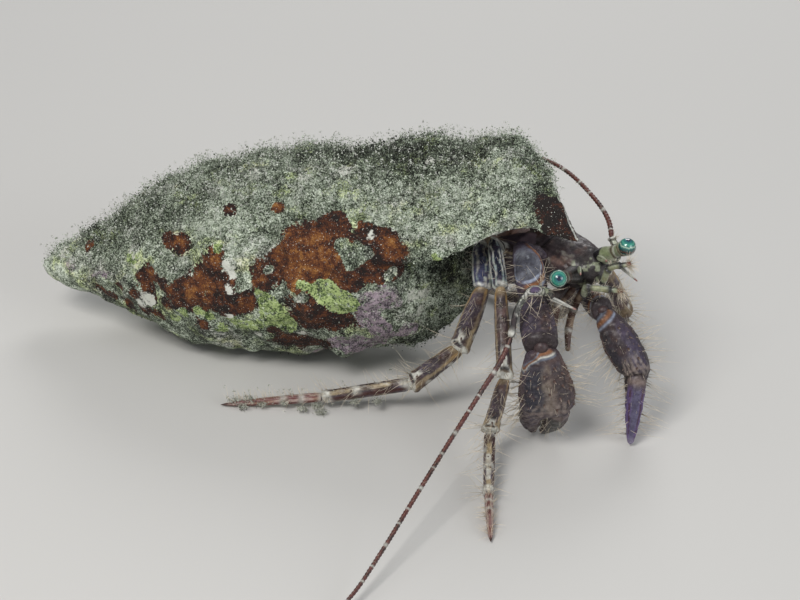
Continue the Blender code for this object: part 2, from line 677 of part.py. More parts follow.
# Half widths along a segment: place, thin way, tall way
LEG_PARTS = [
    ("coxa", [(0, 0.55, 0.6), (0.5, 0.62, 0.7), (1, 0.5, 0.55)]),
    ("ischium", [(0, 0.5, 0.55), (0.25, 0.65, 0.8), (0.7, 0.66, 0.85), (1, 0.45, 0.55)]),
    ("merus", [(0, 0.45, 0.55), (0.2, 0.6, 0.8), (0.6, 0.66, 0.9), (0.85, 0.62, 0.85), (1, 0.45, 0.6)]),
    ("carpus", [(0, 0.42, 0.55), (0.25, 0.6, 0.75), (0.75, 0.7, 0.86), (1, 0.48, 0.6)]),
    ("propodus", [(0, 0.42, 0.52), (0.2, 0.5, 0.64), (0.6, 0.46, 0.58), (0.9, 0.4, 0.5), (1, 0.36, 0.42)]),
    ("dactyl", [(0, 0.33, 0.4), (0.2, 0.36, 0.44), (0.6, 0.29, 0.34), (0.88, 0.22, 0.22), (1, 0.12, 0.12)]),
]

CLAW_RIGHT_PARTS = [
    ("ischium", [(0, 0.62, 0.62), (0.45, 0.55, 0.55), (1, 0.4, 0.4)]),
    ("merus", [(0, 0.45, 0.5), (0.3, 0.9, 1.1), (0.75, 1.0, 1.15), (1, 0.7, 0.8)]),
    ("carpus", [(0, 0.65, 0.75), (0.3, 1.05, 1.2), (0.7, 1.3, 1.45), (1, 0.8, 0.9)]),
]

CLAW_LEFT_PARTS = [
    ("merus", [(0, 0.55, 0.55), (0.4, 0.65, 0.75), (1, 0.5, 0.55)]),
    ("carpus", [(0, 0.5, 0.55), (0.35, 0.75, 0.85), (0.72, 0.85, 1.0), (1, 0.65, 0.7)]),
]

# A hand's palm, fixed finger and moving finger: place, half widths, shift along the tall way
HAND_RIGHT = (
    [(0, 0.7, 0.85), (0.2, 1.05, 1.5), (0.5, 1.5, 2.0), (0.78, 1.6, 2.35), (0.94, 1.45, 2.3), (1, 1.25, 2.1)],
    [(0, 0.9, 0.85, -1.04), (0.3, 0.95, 0.95, -1.14), (0.65, 0.72, 0.78, -0.95), (0.92, 0.34, 0.36, -0.53),
     (1, 0.15, 0.15, -0.36)],
    [(0, 0.85, 0.8, 1.0), (0.3, 0.92, 0.92, 1.08), (0.65, 0.68, 0.7, 0.87), (0.92, 0.32, 0.32, 0.48),
     (1, 0.15, 0.15, 0.34)],
)
HAND_LEFT = (
    [(0, 0.7, 0.6), (0.2, 1.1, 1.0), (0.5, 1.5, 1.5), (0.8, 1.4, 1.65), (0.95, 1.25, 1.6), (1, 1.1, 1.45)],
    [(0, 0.8, 0.6, -0.75), (0.4, 0.7, 0.55, -0.7), (0.75, 0.45, 0.4, -0.58), (0.93, 0.26, 0.24, -0.42),
     (1, 0.14, 0.12, -0.32)],
    [(0, 0.8, 0.6, 0.75), (0.4, 0.72, 0.55, 0.7), (0.75, 0.48, 0.4, 0.55), (0.93, 0.28, 0.24, 0.4),
     (1, 0.15, 0.12, 0.3)],
)


def build_limbs(shades):
    sideways = np.array((0.0, 1.0, 0.0))
    lengthways = np.array((1.0, 0.0, 0.0))
    claw, leg = shades["claw"], shades["leg"]
    root = body_point(0.9, -0.5, -0.6)
    wrist = limb(
        "cheliped_right", root, CLAW_RIGHT, CLAW_RIGHT_PARTS, sideways, claw, 14, UP_CLAW, CLAW_SPINES_RIGHT
    )
    hand(
        "cheliped_right", *wrist, CLAW_RIGHT[-1], CLAW_TIP_RIGHT, HAND_RIGHT, PALM_SPINES_RIGHT, sideways, claw
    )
    root = body_point(1.4, 0.2, -0.8)
    wrist = limb(
        "cheliped_left", root, CLAW_LEFT, CLAW_LEFT_PARTS, lengthways, claw, 14, UP_CLAW, CLAW_SPINES_LEFT
    )
    hand("cheliped_left", *wrist, CLAW_LEFT[-1], CLAW_TIP_LEFT, HAND_LEFT, PALM_SPINES_LEFT, lengthways, claw)
    legs = (
        ("leg2_right", body_point(-0.6, -0.4, -0.2), LEG2_RIGHT, lengthways, UP_RIGHT),
        ("leg3_right", body_point(-2.6, -0.4, -0.4), LEG3_RIGHT, sideways, UP_RIGHT),
        ("leg2_left", body_point(0.2, 0.6, -0.4), LEG2_LEFT, lengthways, UP_LEFT),
        ("leg3_left", body_point(-1.8, 0.6, -0.4), LEG3_LEFT, lengthways, UP_LEFT),
    )
    for name, root, joints, flat, top in legs:
        limb(name, root, joints, LEG_PARTS, flat, leg, 10, top, LEG_SPINES)


def main():
    for old in list(bpy.data.objects):
        bpy.data.objects.remove(old)
    root = bpy.data.objects.new("hermit_crab", None)
    bpy.context.scene.collection.objects.link(root)
    shades = {
        "shell": material("crusted_shell", (0.28, 0.27, 0.2), 0.9),
        "body": material("striped_body", (0.14, 0.11, 0.12), 0.45),
        "soft": material("soft_body", (0.3, 0.2, 0.18), 0.6),
        "leg": material("leg_horn", (0.2, 0.13, 0.13), 0.45),
        "claw": material("claw_horn", (0.13, 0.1, 0.13), 0.5),
        "stalk": material("stalk_horn", (0.3, 0.34, 0.22), 0.4),
        "eye": material("eye_gloss", (0.03, 0.3, 0.28), 0.12),
        "feeler": material("feeler_horn", (0.25, 0.08, 0.06), 0.4),
    }
    build_shell(shades["shell"])
    build_body(shades["body"], shades["soft"])
    build_head(shades)
    build_antenna("right", body_point(2.2, -1.75, -0.4), ANTENNA_RIGHT, shades["feeler"])
    build_antenna("left", body_point(3.0, 1.3, -0.4), ANTENNA_LEFT, shades["feeler"])
    build_limbs(shades)


main()
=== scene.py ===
"""A striped hermit crab standing in its crusted turret shell, on a pale studio floor.

Lengths are in millimetres until a mesh is made. +Z is up, the floor is z = 0, +X runs from the shell's
tip to the animal's head and -Y is the side of the shell's mouth.
"""

import math

import bpy
import numpy as np
from bpy.props import FloatProperty, FloatVectorProperty, IntProperty, PointerProperty
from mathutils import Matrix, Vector


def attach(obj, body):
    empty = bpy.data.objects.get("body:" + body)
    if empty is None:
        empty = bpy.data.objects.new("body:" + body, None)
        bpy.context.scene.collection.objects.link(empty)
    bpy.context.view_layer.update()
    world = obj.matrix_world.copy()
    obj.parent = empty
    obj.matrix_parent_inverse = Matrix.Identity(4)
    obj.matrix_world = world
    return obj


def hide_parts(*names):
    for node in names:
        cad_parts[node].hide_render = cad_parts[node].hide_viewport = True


bl_info = {
    "name": "Striped hermit crab",
    "version": (1, 0, 0),
    "blender": (4, 5, 0),
    "location": "3D View > Sidebar > Hermit crab",
    "description": "Dresses a still, life-size hermit crab and the crusted shell that it wears",
    "category": "Add Mesh",
}

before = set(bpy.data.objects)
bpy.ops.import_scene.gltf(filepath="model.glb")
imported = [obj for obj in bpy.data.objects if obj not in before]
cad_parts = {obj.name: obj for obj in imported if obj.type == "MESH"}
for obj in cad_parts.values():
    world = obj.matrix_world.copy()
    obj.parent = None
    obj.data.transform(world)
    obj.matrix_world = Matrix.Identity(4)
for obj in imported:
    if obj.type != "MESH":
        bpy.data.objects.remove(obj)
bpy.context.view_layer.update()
MM = 0.001


def unit(vector):
    vector = np.asarray(vector, float)
    return vector / np.linalg.norm(vector, axis=-1, keepdims=True)


# Ways on the floor
ASIDE = np.array((1.0, 0.0, 0.0))
AHEAD = np.array((0.0, 1.0, 0.0))

# The body's middle, its half sizes, and the way that it faces
BODY_AT = np.array((24.7, -8.4, 12.9))
BODY_HALF = np.array((4.6, 2.5, 2.1))
FORWARD = np.array((0.682, -0.732, 0.0))
LEFT = np.array((0.693, 0.646, 0.321))
UP = np.cross(FORWARD, LEFT) / np.linalg.norm(np.cross(FORWARD, LEFT))

# The shell's axis: the way that it runs, the way of turn 0, and its tip
SHELL_WAY = np.array((0.956, -0.238, 0.17))
SHELL_UPRIGHT = np.array((-0.039, 0.472, 0.881))
SHELL_TIP = np.array((-22.0, 5.6, 5.3))

# Joints of each limb from the body outwards, and the side of the limb that faces up and out
LIMBS = {
    "cheliped_right": ((0.9, -0.5, -0.6), [(21.5, -10.2, 14.4), (22.0, -14.5, 12.4), (22.4, -20.1, 10.5)]),
    "cheliped_left": ((1.4, 0.2, -0.8), [(26.9, -9.9, 9.6), (27.9, -14.2, 10.8)]),
    "leg2_right": ((-0.6, -0.4, -0.2), [
        (18.9, -8.9, 14.3), (19.2, -14.7, 13.1), (19.5, -20.0, 7.5), (18.3, -20.5, 2.6), (18.0, -27.6, 0.95),
        (18.0, -33.5, 0.2)]),
    "leg3_right": ((-2.6, -0.4, -0.4), [
        (17.8, -7.3, 13.3), (17.8, -12.8, 12.2), (15.9, -13.0, 6.5), (11.8, -12.7, 2.8), (4.1, -12.1, 1.15),
        (-4.9, -11.8, 0.2)]),
    "leg2_left": ((0.2, 0.6, -0.4), [
        (27.8, -6.4, 12.0), (29.0, -5.2, 9.8), (31.0, -3.0, 5.0), (31.0, 0.4, 2.4), (29.6, 6.6, 1.0),
        (26.9, 13.6, 0.2)]),
    "leg3_left": ((-1.8, 0.6, -0.4), [
        (24.6, -4.2, 11.6), (25.2, -3.4, 9.4), (26.2, -1.2, 4.8), (25.4, 2.0, 2.4), (21.2, 7.4, 1.0),
        (15.4, 12.9, 0.2)]),
}
WRIST_RIGHT = ((22.4, -20.1, 10.5), (23.2, -18.9, 4.3), (22.6, -16.2, 0.1))
WRIST_LEFT = ((27.9, -14.2, 10.8), (30.9, -15.8, 5.7), (30.3, -18.3, 0.1))

# Half widths along a leg's segments: place, thin way, tall way
LEG_WIDTHS = {
    "coxa": [(0, 0.5, 0.55), (0.5, 0.62, 0.7), (0.92, 0.62, 0.72), (1, 0.58, 0.66)],
    "ischium": [(0, 0.42, 0.48), (0.25, 0.66, 0.8), (0.7, 0.68, 0.88), (0.93, 0.62, 0.78), (1, 0.56, 0.7)],
    "merus": [(0, 0.36, 0.46), (0.14, 0.56, 0.72), (0.6, 0.67, 0.9), (0.88, 0.66, 0.88), (0.95, 0.7, 0.88),
              (1, 0.62, 0.78)],
    "carpus": [(0, 0.36, 0.46), (0.18, 0.56, 0.7), (0.7, 0.66, 0.84), (0.93, 0.72, 0.88), (1, 0.62, 0.78)],
    "propodus": [(0, 0.34, 0.44), (0.12, 0.48, 0.6), (0.6, 0.47, 0.59), (0.9, 0.43, 0.54), (0.96, 0.46, 0.56),
                 (1, 0.4, 0.5)],
    "dactyl": [(0, 0.28, 0.34), (0.1, 0.36, 0.43), (0.55, 0.3, 0.35), (0.85, 0.2, 0.21), (1, 0.05, 0.05)],
}
CLAW_RIGHT_WIDTHS = {
    "ischium": [(0, 0.62, 0.62), (0.45, 0.7, 0.75), (1, 0.6, 0.65)],
    "merus": [(0, 0.6, 0.7), (0.25, 1.05, 1.2), (0.75, 1.1, 1.3), (0.94, 1.0, 1.2), (1, 0.85, 1.05)],
    "carpus": [(0, 0.6, 0.7), (0.25, 1.05, 1.2), (0.7, 1.35, 1.5), (0.93, 1.25, 1.4), (1, 1.05, 1.15)],
}
CLAW_LEFT_WIDTHS = {
    "merus": [(0, 0.55, 0.55), (0.4, 0.66, 0.76), (1, 0.6, 0.66)],
    "carpus": [(0, 0.45, 0.5), (0.35, 0.76, 0.86), (0.75, 0.9, 1.05), (0.94, 0.88, 1.0), (1, 0.74, 0.82)],
}
# A hand: its palm and fixed finger, then its moving finger. Place, half widths, shift along the tall way
HAND_RIGHT = (
    [(0, 0.7, 0.8, 0), (0.1, 1.0, 1.4, 0), (0.33, 1.5, 2.0, 0), (0.55, 1.62, 2.35, 0),
     (0.66, 1.45, 2.25, -0.06), (0.71, 1.15, 1.4, -0.75), (0.77, 0.97, 1.05, -1.12),
     (0.88, 0.72, 0.84, -0.95), (0.96, 0.38, 0.42, -0.55), (1, 0.2, 0.2, -0.36)],
    [(0, 0.9, 0.95, 0.98), (0.3, 0.95, 0.98, 1.06), (0.65, 0.7, 0.78, 0.85), (0.9, 0.36, 0.4, 0.5),
     (1, 0.18, 0.18, 0.34)],
)
HAND_LEFT = (
    [(0, 0.7, 0.6, 0), (0.12, 1.1, 1.0, 0), (0.3, 1.5, 1.5, 0), (0.46, 1.42, 1.66, 0),
     (0.54, 1.2, 1.5, -0.05), (0.6, 0.95, 0.95, -0.55), (0.68, 0.78, 0.58, -0.75), (0.84, 0.52, 0.44, -0.62),
     (0.96, 0.26, 0.24, -0.42), (1, 0.13, 0.12, -0.32)],
    [(0, 0.8, 0.6, 0.75), (0.4, 0.72, 0.55, 0.7), (0.75, 0.48, 0.4, 0.56), (0.93, 0.28, 0.24, 0.41),
     (1, 0.14, 0.12, 0.32)],
)

# Each feeler: radii from root to tip, and the points that it passes through
ANTENNA_ROOTS = {
    "right": ((2.2, -1.75, -0.4), [0.42, 0.45, 0.41, 0.28, 0.22],
              [(24.2, -13.8, 12.15), (23.45, -16.1, 13.2), (22.4, -17.5, 14.3), (21.5, -18.0, 14.5),
               (20.6, -18.8, 13.7), (19.9, -19.8, 11.2)]),
    "left": ((3.0, 1.3, -0.4), [0.3, 0.32, 0.33, 0.32, 0.31],
             [(29.15, -9.45, 12.75), (29.45, -8.95, 13.4), (29.0, -8.0, 14.6)]),
}
WHIPS = {
    "right": [(19.9, -19.8, 11.2), (19.5, -20.5, 10.4), (17.3, -22.9, 7.6), (15.2, -26.2, 5.8),
              (11.6, -33.3, 3.5), (9.3, -38.0, 2.1), (7.1, -42.2, 1.0), (4.6, -46.0, 0.7), (1.6, -49.4, 0.8)],
    "left": [(29.0, -8.0, 14.6), (28.9, -6.6, 15.2), (27.1, -2.4, 16.6), (25.1, 0.8, 17.2), (22.8, 3.6, 17.1),
             (20.3, 6.2, 16.4), (17.2, 8.6, 15.0), (13.8, 10.4, 13.2), (10.4, 11.6, 11.4)],
}
WHIP_RADII = [0.23, 0.2, 0.185, 0.18, 0.175, 0.16, 0.13, 0.07]
ANTENNULES = {
    "right": ((3.2, -0.4, -0.9), [0.32, 0.31, 0.29, 0.27, 0.2],
              [(26.3, -14.3, 12.4), (26.4, -15.2, 13.4), (28.0, -15.6, 13.5), (29.4, -15.8, 13.4)]),
    "left": ((3.2, 0.4, -0.9), [0.3, 0.29, 0.27, 0.2],
             [(27.9, -13.4, 13.1), (28.4, -13.9, 14.6), (30.1, -14.3, 15.2)]),
}
MOUTH_LEGS = {
    "right": ((2.4, -0.7, -1.2), [0.28, 0.33, 0.32, 0.2],
              [(24.1, -13.0, 10.2), (23.8, -14.3, 9.2), (23.9, -15.4, 8.1)]),
    "left": ((2.6, 0.35, -1.2), [0.28, 0.33, 0.32, 0.2],
             [(25.35, -13.1, 9.6), (25.05, -14.3, 8.5), (25.0, -15.2, 7.4)]),
}
EYES = {"right": ((2.9, -0.9, 0.1), (23.95, -15.6, 14.5)), "left": ((2.9, 0.9, 0.2), (29.85, -12.8, 16.05))}
# The way that the dark middle of each eye faces
EYE_LOOK = {"right": unit((0.05, -0.89, 0.46)), "left": unit((0.1, -0.2, 1.0))}

# The point that the camera looks at
LOOK_AT = np.array((10.8, -1.9, 5.36))
# The picture's width and height in pixels, and how many millimetres one spans at the point looked at
PICTURE = (800, 600)
PIXEL = 0.09
# How far off a line of sight a point may lie and be met by it, and the toll on each millimetre more
SIGHT_WIDTH = 0.2
MISS_TOLL = 1000.0

# Crust patches, then spots of painted light and painted shade, on the shell: reach in millimetres, and the
# pixels of the picture where their middles show
RUST = {
    2.4: [(300, 250)],
    2.3: [(322, 262)],
    2: [(318, 285)],
    1.5: [(388, 255), (294, 318)],
    1.4: [(330, 236), (318, 322), (197, 282), (210, 298)],
    1.3: [(350, 276), (374, 272), (340, 322), (300, 345), (190, 302), (552, 214), (568, 225)],
    1.1: [(282, 262)],
    1: [(380, 238), (259, 276), (322, 345), (178, 245)],
    0.9: [(214, 256), (207, 270), (176, 293), (233, 312), (248, 306), (580, 240), (545, 202)],
    0.8: [(337, 218), (362, 228), (398, 268), (268, 283), (280, 343), (226, 281), (150, 273), (143, 279),
          (145, 311), (246, 300), (236, 304)],
    0.7: [(275, 330), (228, 208), (276, 206), (112, 296), (128, 304), (222, 313), (134, 294), (150, 298),
          (165, 304), (181, 307)],
    0.6: [(166, 238), (160, 284), (88, 243), (99, 290), (160, 317), (202, 326)],
    0.5: [(588, 249), (118, 288), (150, 288)],
}
ORANGE = {
    2: [(305, 252)],
    1.6: [(322, 268)],
    1.3: [(196, 290)],
    1.2: [(300, 285)],
    0.8: [(392, 250)],
    0.7: [(212, 262), (246, 308), (350, 250)],
    0.6: [(276, 205), (258, 276), (150, 273)],
    0.5: [(88, 243), (202, 326), (583, 244), (178, 243)],
}
GREEN = {
    0.8: [(332, 298), (341, 302), (281, 321)],
    0.7: [(324, 294), (349, 306), (272, 313)],
    0.6: [(316, 290), (288, 327), (268, 322), (256, 326), (244, 327), (130, 258)],
    0.5: [(338, 310), (326, 286), (262, 296), (268, 304), (234, 322), (222, 330), (182, 314)],
    0.4: [(210, 318), (196, 312), (300, 286), (436, 261), (216, 246), (174, 318)],
}
MAUVE = {
    0.8: [(378, 300), (372, 342)],
    0.7: [(388, 294), (370, 307), (364, 318), (376, 328), (386, 336), (366, 352), (344, 342), (356, 346),
          (72, 262), (92, 268)],
    0.6: [(396, 346)],
    0.5: [(395, 304), (332, 344), (410, 330), (62, 252), (104, 272)],
    0.4: [(318, 352)],
}
PALE = {
    0.7: [(343, 167), (252, 172), (60, 250), (416, 300)],
    0.6: [(226, 268), (145, 296), (428, 296), (424, 312), (302, 172)],
    0.5: [(229, 291), (140, 303), (290, 164)],
    0.4: [(428, 157), (256, 336), (300, 333), (369, 233), (151, 303), (233, 277), (232, 318)],
}
HOLES = {
    0.7: [(358, 261)],
    0.6: [(342, 246), (350, 254)],
    0.5: [(364, 252), (392, 275)],
    0.4: [(352, 266), (267, 270), (300, 297), (372, 290)],
}
# Spots that raise the silt's tone: partly paler silt, partly painted light where the shell's upper side faces
# the light
LIGHT = {
    3.1: [(475, 200)],
    2.7: [(360, 195), (250, 215)],
    2.3: [(300, 190), (130, 255)],
    2.2: [(400, 205), (200, 225)],
    2: [(515, 195)],
    1.6: [(440, 225), (430, 305)],
    1.3: [(70, 255), (250, 255), (240, 290)],
}
# Spots of painted shade that lower the silt's tone: under the shell's lip and along its dim top
PAINTED_SHADE = {
    3.1: [(400, 150)],
    2: [(350, 150), (455, 150)],
    1.4: [(445, 265), (470, 285), (410, 345), (440, 340), (540, 185)],
    1.3: [(300, 150)],
    0.9: [(456, 262), (330, 205)],
}
# Tones of silt and of rust-coloured crust, from dark to bright: place on a scale and colour
SILT_TONES = [
    (0.05, (0.010, 0.012, 0.009)), (0.28, (0.052, 0.064, 0.042)), (0.5, (0.180, 0.218, 0.155)),
    (0.72, (0.415, 0.480, 0.370)), (0.95, (0.74, 0.80, 0.69)),
]
RUST_TONES = [
    (0.05, (0.008, 0.004, 0.003)), (0.3, (0.036, 0.010, 0.005)), (0.55, (0.105, 0.031, 0.009)),
    (0.8, (0.18, 0.062, 0.014)), (0.98, (0.31, 0.14, 0.036)),
]

# Colours of the horn and its marks
DARK_HORN = np.array((0.050, 0.031, 0.036))
BROWN_HORN = np.array((0.105, 0.052, 0.040))
VIOLET_HORN = np.array((0.105, 0.082, 0.125))
PALE_STRIPE = np.array((0.42, 0.33, 0.20))
ORANGE_MARK = np.array((0.36, 0.15, 0.06))
WHITE_MARK = np.array((0.66, 0.66, 0.60))
BLUE_WHITE = np.array((0.40, 0.46, 0.60))
BLACK_MARK = np.array((0.008, 0.007, 0.010))
SAGE = np.array((0.36, 0.40, 0.27))
MAROON = np.array((0.150, 0.018, 0.014))
PINK_WHITE = np.array((0.46, 0.33, 0.30))
TIP_GREY = np.array((0.24, 0.20, 0.18))
TIP_VIOLET = np.array((0.20, 0.13, 0.36))
LEG_GRIT = (0.28, 0.23, 0.20)
CLAW_POINT = (0.05, 0.016, 0.010)
OCHRE = (0.33, 0.24, 0.12)
PALE_GREEN = (0.34, 0.42, 0.40)
SLATE = (0.060, 0.062, 0.085)
LIGHT_SLATE = (0.17, 0.18, 0.22)
STREAK_GREY = (0.33, 0.36, 0.40)
CLAW_GRIT = (0.24, 0.17, 0.15)
RAY_BUFF = (0.38, 0.31, 0.27)
LIGHT_BUFF = (0.36, 0.29, 0.26)
DARK_BUFF = (0.30, 0.24, 0.22)
ROSE_BUFF = (0.36, 0.27, 0.24)
ARM_GRAIN = (0.32, 0.28, 0.26)
# Pale tubercles with a painted highlight on the palm's grains
PALM_GRAIN_AND_HIGHLIGHT = (0.34, 0.30, 0.27)
SKIN_BROWN = (0.06, 0.035, 0.035)
SHIELD_GREY = (0.17, 0.14, 0.15)
SHIELD_PALE = (0.40, 0.38, 0.33)
SHIELD_RUST = (0.26, 0.14, 0.10)
FACE_BLACK = (0.022, 0.017, 0.018)
HIND_RED = (0.30, 0.17, 0.13)
HIND_PINK = (0.42, 0.30, 0.27)
GILL_DARK = (0.035, 0.025, 0.035)
GILL_ROSE = (0.12, 0.08, 0.09)
STALK_BAR = (0.07, 0.025, 0.014)
STALK_RIM = (0.12, 0.04, 0.02)
EYE_GREEN = (0.08, 0.42, 0.28)
EYE_RING = (0.52, 0.66, 0.50)
PUPIL = (0.003, 0.008, 0.035)
EYE_RIM = (0.10, 0.035, 0.02)
SPOT_VIOLET = (0.10, 0.06, 0.14)
WHIP_LINE = (0.30, 0.12, 0.075)
OLIVE = (0.30, 0.30, 0.16)
TUFT_BROWN = (0.20, 0.07, 0.04)
MOUTH_TAN = (0.36, 0.26, 0.18)
SCALE_PINK = (0.48, 0.24, 0.20)
SPINE_TIP = (0.34, 0.27, 0.22)
SILT_DARK = (0.17, 0.18, 0.13)
SILT_LIGHT = (0.78, 0.79, 0.70)
# Inner wall of the shell's mouth, darkened as painted shade
SHADED_NACRE_DARK = (0.10, 0.09, 0.10)
SHADED_NACRE_LIGHT = (0.24, 0.19, 0.17)
DEEP_OCHRE = (0.42, 0.26, 0.09)
INK_BLUE = (0.010, 0.013, 0.035)
DUSK_BLUE = (0.075, 0.085, 0.17)
DUSK_VIOLET = (0.10, 0.08, 0.13)
BUFF = (0.34, 0.27, 0.24)
DEEP_MAROON = (0.045, 0.008, 0.014)
STALK_BLACK = (0.020, 0.015, 0.016)


def on_curve(x, values, tangents, where):
    """Values at places on the smooth curve with given values and tangents at x."""
    i = np.clip(np.searchsorted(x, where, side="right") - 1, 0, len(x) - 2)
    h = (x[i + 1] - x[i])[:, None]
    t = (where - x[i])[:, None] / h
    start, end = values[i] * (1 + 2 * t) * (1 - t) ** 2, values[i + 1] * t * t * (3 - 2 * t)
    return start + end + h * tangents[i] * t * (1 - t) ** 2 + h * tangents[i + 1] * t * t * (t - 1)


def smooth_steps(table, where):
    """Values at places along a table of (place, value...), on a curve that never overshoots."""
    table = np.asarray(table, float)
    x, values = table[:, 0], table[:, 1:]
    slope = np.diff(values, axis=0) / np.diff(x)[:, None]
    inner = slope[:-1] * slope[1:]
    mean = np.where(inner > 0, 2 * inner / (slope[:-1] + slope[1:] + 1e-12), 0.0)
    tangents = np.vstack([slope[:1], mean, slope[-1:]])
    return on_curve(x, values, tangents, np.clip(where, x[0], x[-1]))


def curve_points(points, count):
    """Evenly spread points on a smooth curve through the given ones."""
    points = np.asarray(points, float)
    along = np.concatenate([[0], np.cumsum(np.linalg.norm(np.diff(points, axis=0), axis=1))])
    tangents = np.gradient(points, along, axis=0)
    return on_curve(along, points, tangents, np.linspace(0, along[-1], count))


def fade(value, low, high):
    """From 0 at low to 1 at high, with soft ends."""
    t = np.clip((value - low) / (high - low), 0.0, 1.0)
    return t * t * (3 - 2 * t)


def hump(value, middle, width):
    """A bell of height 1."""
    return np.exp(-(((value - middle) / width) ** 2))


def lattice(cells, seed):
    """Scrambled numbers from 0 to 1, one for each whole-number cell."""
    x, y, z = (cells[..., k].astype(np.int64).astype(np.uint32) for k in range(3))
    mixed = x * np.uint32(73856093) ^ y * np.uint32(19349663) ^ z * np.uint32(83492791)
    mixed = (mixed + np.uint32(seed * 7919 + 17)) * np.uint32(2246822519)
    mixed = (mixed ^ (mixed >> np.uint32(15))) * np.uint32(3266489917)
    return (mixed ^ (mixed >> np.uint32(13))) / 2.0**32


def noise(points, size, seed):
    """Smooth noise from -1 to 1: scrambled values at the corners of cells, blended along three ways."""
    where = np.asarray(points, float) / size + 300.0
    cell = np.floor(where)
    t = where - cell
    t = t * t * (3 - 2 * t)
    total = 0.0
    for corner in np.ndindex(2, 2, 2):
        weight = np.prod(np.where(corner, t, 1 - t), axis=-1)
        total = total + weight * lattice(cell + corner, seed)
    return 2 * total - 1


def layers(points, size, seed, count=3):
    """Noise with finer and weaker noise added to it."""
    return sum(noise(points, size / 2**k, seed + k) / 2**k for k in range(count)) / (2 - 0.5 ** (count - 1))


def clouds(points, size, seed, low, high, count=3):
    """Soft blotches from 0 to 1: layered noise that fades in between two levels."""
    return fade(layers(points, size, seed, count), low, high)


def pebbles(points, size, seed, reach=0.6):
    """Round humps from 0 to 1 about one scattered middle in each cell."""
    where = np.asarray(points, float) / size + 300.0
    cell = np.floor(where)
    nearest = np.full(where.shape[:-1], 9.0)
    for step in np.ndindex(3, 3, 3):
        other = cell + np.array(step) - 1
        middle = other + np.stack([lattice(other, seed + k) for k in range(3)], -1)
        nearest = np.minimum(nearest, ((where - middle) ** 2).sum(-1))
    return np.clip(1 - nearest / reach**2, 0.0, 1.0)


def lift(points, low=0.0):
    """Keeps points above the floor, or above a height over it."""
    points[..., 2] = np.maximum(points[..., 2], low)


def turns_around(sides):
    return np.arange(sides) * 2 * math.pi / sides


def blend(low, high, share):
    """Colours between two, by a share for each point."""
    low, high = np.asarray(low, float), np.asarray(high, float)
    share = np.asarray(share, float)[..., None]
    return low * (1 - share) + high * share


def across(way, flat):
    """The two directions across a limb: the flat one and the tall one."""
    way = unit(way)
    thin = unit(flat - np.dot(flat, way) * way)
    return thin, np.cross(way, thin)


def body_point(forward, left, up):
    return BODY_AT + forward * FORWARD + left * LEFT + up * UP


def on_body(inner, outer):
    """Where the line from inside the egg-shaped body to a place outside leaves it, and the way out there."""
    axes = np.array((FORWARD, LEFT, UP))
    start = axes @ (np.asarray(inner, float) - BODY_AT) / BODY_HALF
    step = axes @ (np.asarray(outer, float) - np.asarray(inner, float)) / BODY_HALF
    a, b, c = step @ step, 2 * start @ step, start @ start - 1
    hit = start + (-b + math.sqrt(b * b - 4 * a * c)) / (2 * a) * step
    return BODY_AT + axes.T @ (hit * BODY_HALF), unit(axes.T @ (hit / BODY_HALF))


def grid_faces(rows, columns, first=0):
    """Quads between neighbours on a grid that closes around its columns, and a fan to a pole at each end."""
    index = np.arange(rows * columns).reshape(rows, columns) + first
    near = np.hstack([index, index[:, :1]])
    quads = np.stack([near[:-1, :-1], near[:-1, 1:], near[1:, 1:], near[1:, :-1]], -1).reshape(-1, 4)
    low, high = rows * columns + first, rows * columns + first + 1
    start = np.stack([near[0, 1:], near[0, :-1], np.full(columns, low)], -1)
    end = np.stack([near[-1, :-1], near[-1, 1:], np.full(columns, high)], -1)
    return [quads, start, end]


def add_piece(name, points, faces, look, marks=None, nodes=(), slot=None, unwrap=None):
    """A piece from points in millimetres and arrays of faces, which stands for solid nodes."""
    data = bpy.data.meshes.new(name)
    corners = np.concatenate([part.ravel() for part in faces]).astype(np.int32)
    sizes = np.concatenate([np.full(len(part), part.shape[1]) for part in faces])
    data.vertices.add(len(points))
    data.vertices.foreach_set("co", (np.asarray(points) * MM).astype(np.float32).ravel())
    data.loops.add(len(corners))
    data.loops.foreach_set("vertex_index", corners)
    data.polygons.add(len(sizes))
    data.polygons.foreach_set("loop_start", np.concatenate([[0], np.cumsum(sizes)[:-1]]).astype(np.int32))
    data.update(calc_edges=True)
    data.shade_smooth()
    if marks is not None:
        paint(data, marks)
    if unwrap is not None:
        layer = data.uv_layers.new(name="OFBake")
        layer.uv.foreach_set("vector", unwrap[corners].astype(np.float32).ravel())
    data.materials.append(look)
    made = bpy.data.objects.new(name, data)
    bpy.context.scene.collection.objects.link(made)
    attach(made, "root")
    if nodes:
        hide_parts(*nodes)
    return made


def paint(data, marks, name="marks"):
    """Stores a colour for each point of a mesh."""
    layer = data.color_attributes.new(name, "FLOAT_COLOR", "POINT")
    rgba = np.ones((len(marks), 4), np.float32)
    rgba[:, :3] = marks
    layer.data.foreach_set("color", rgba.ravel())


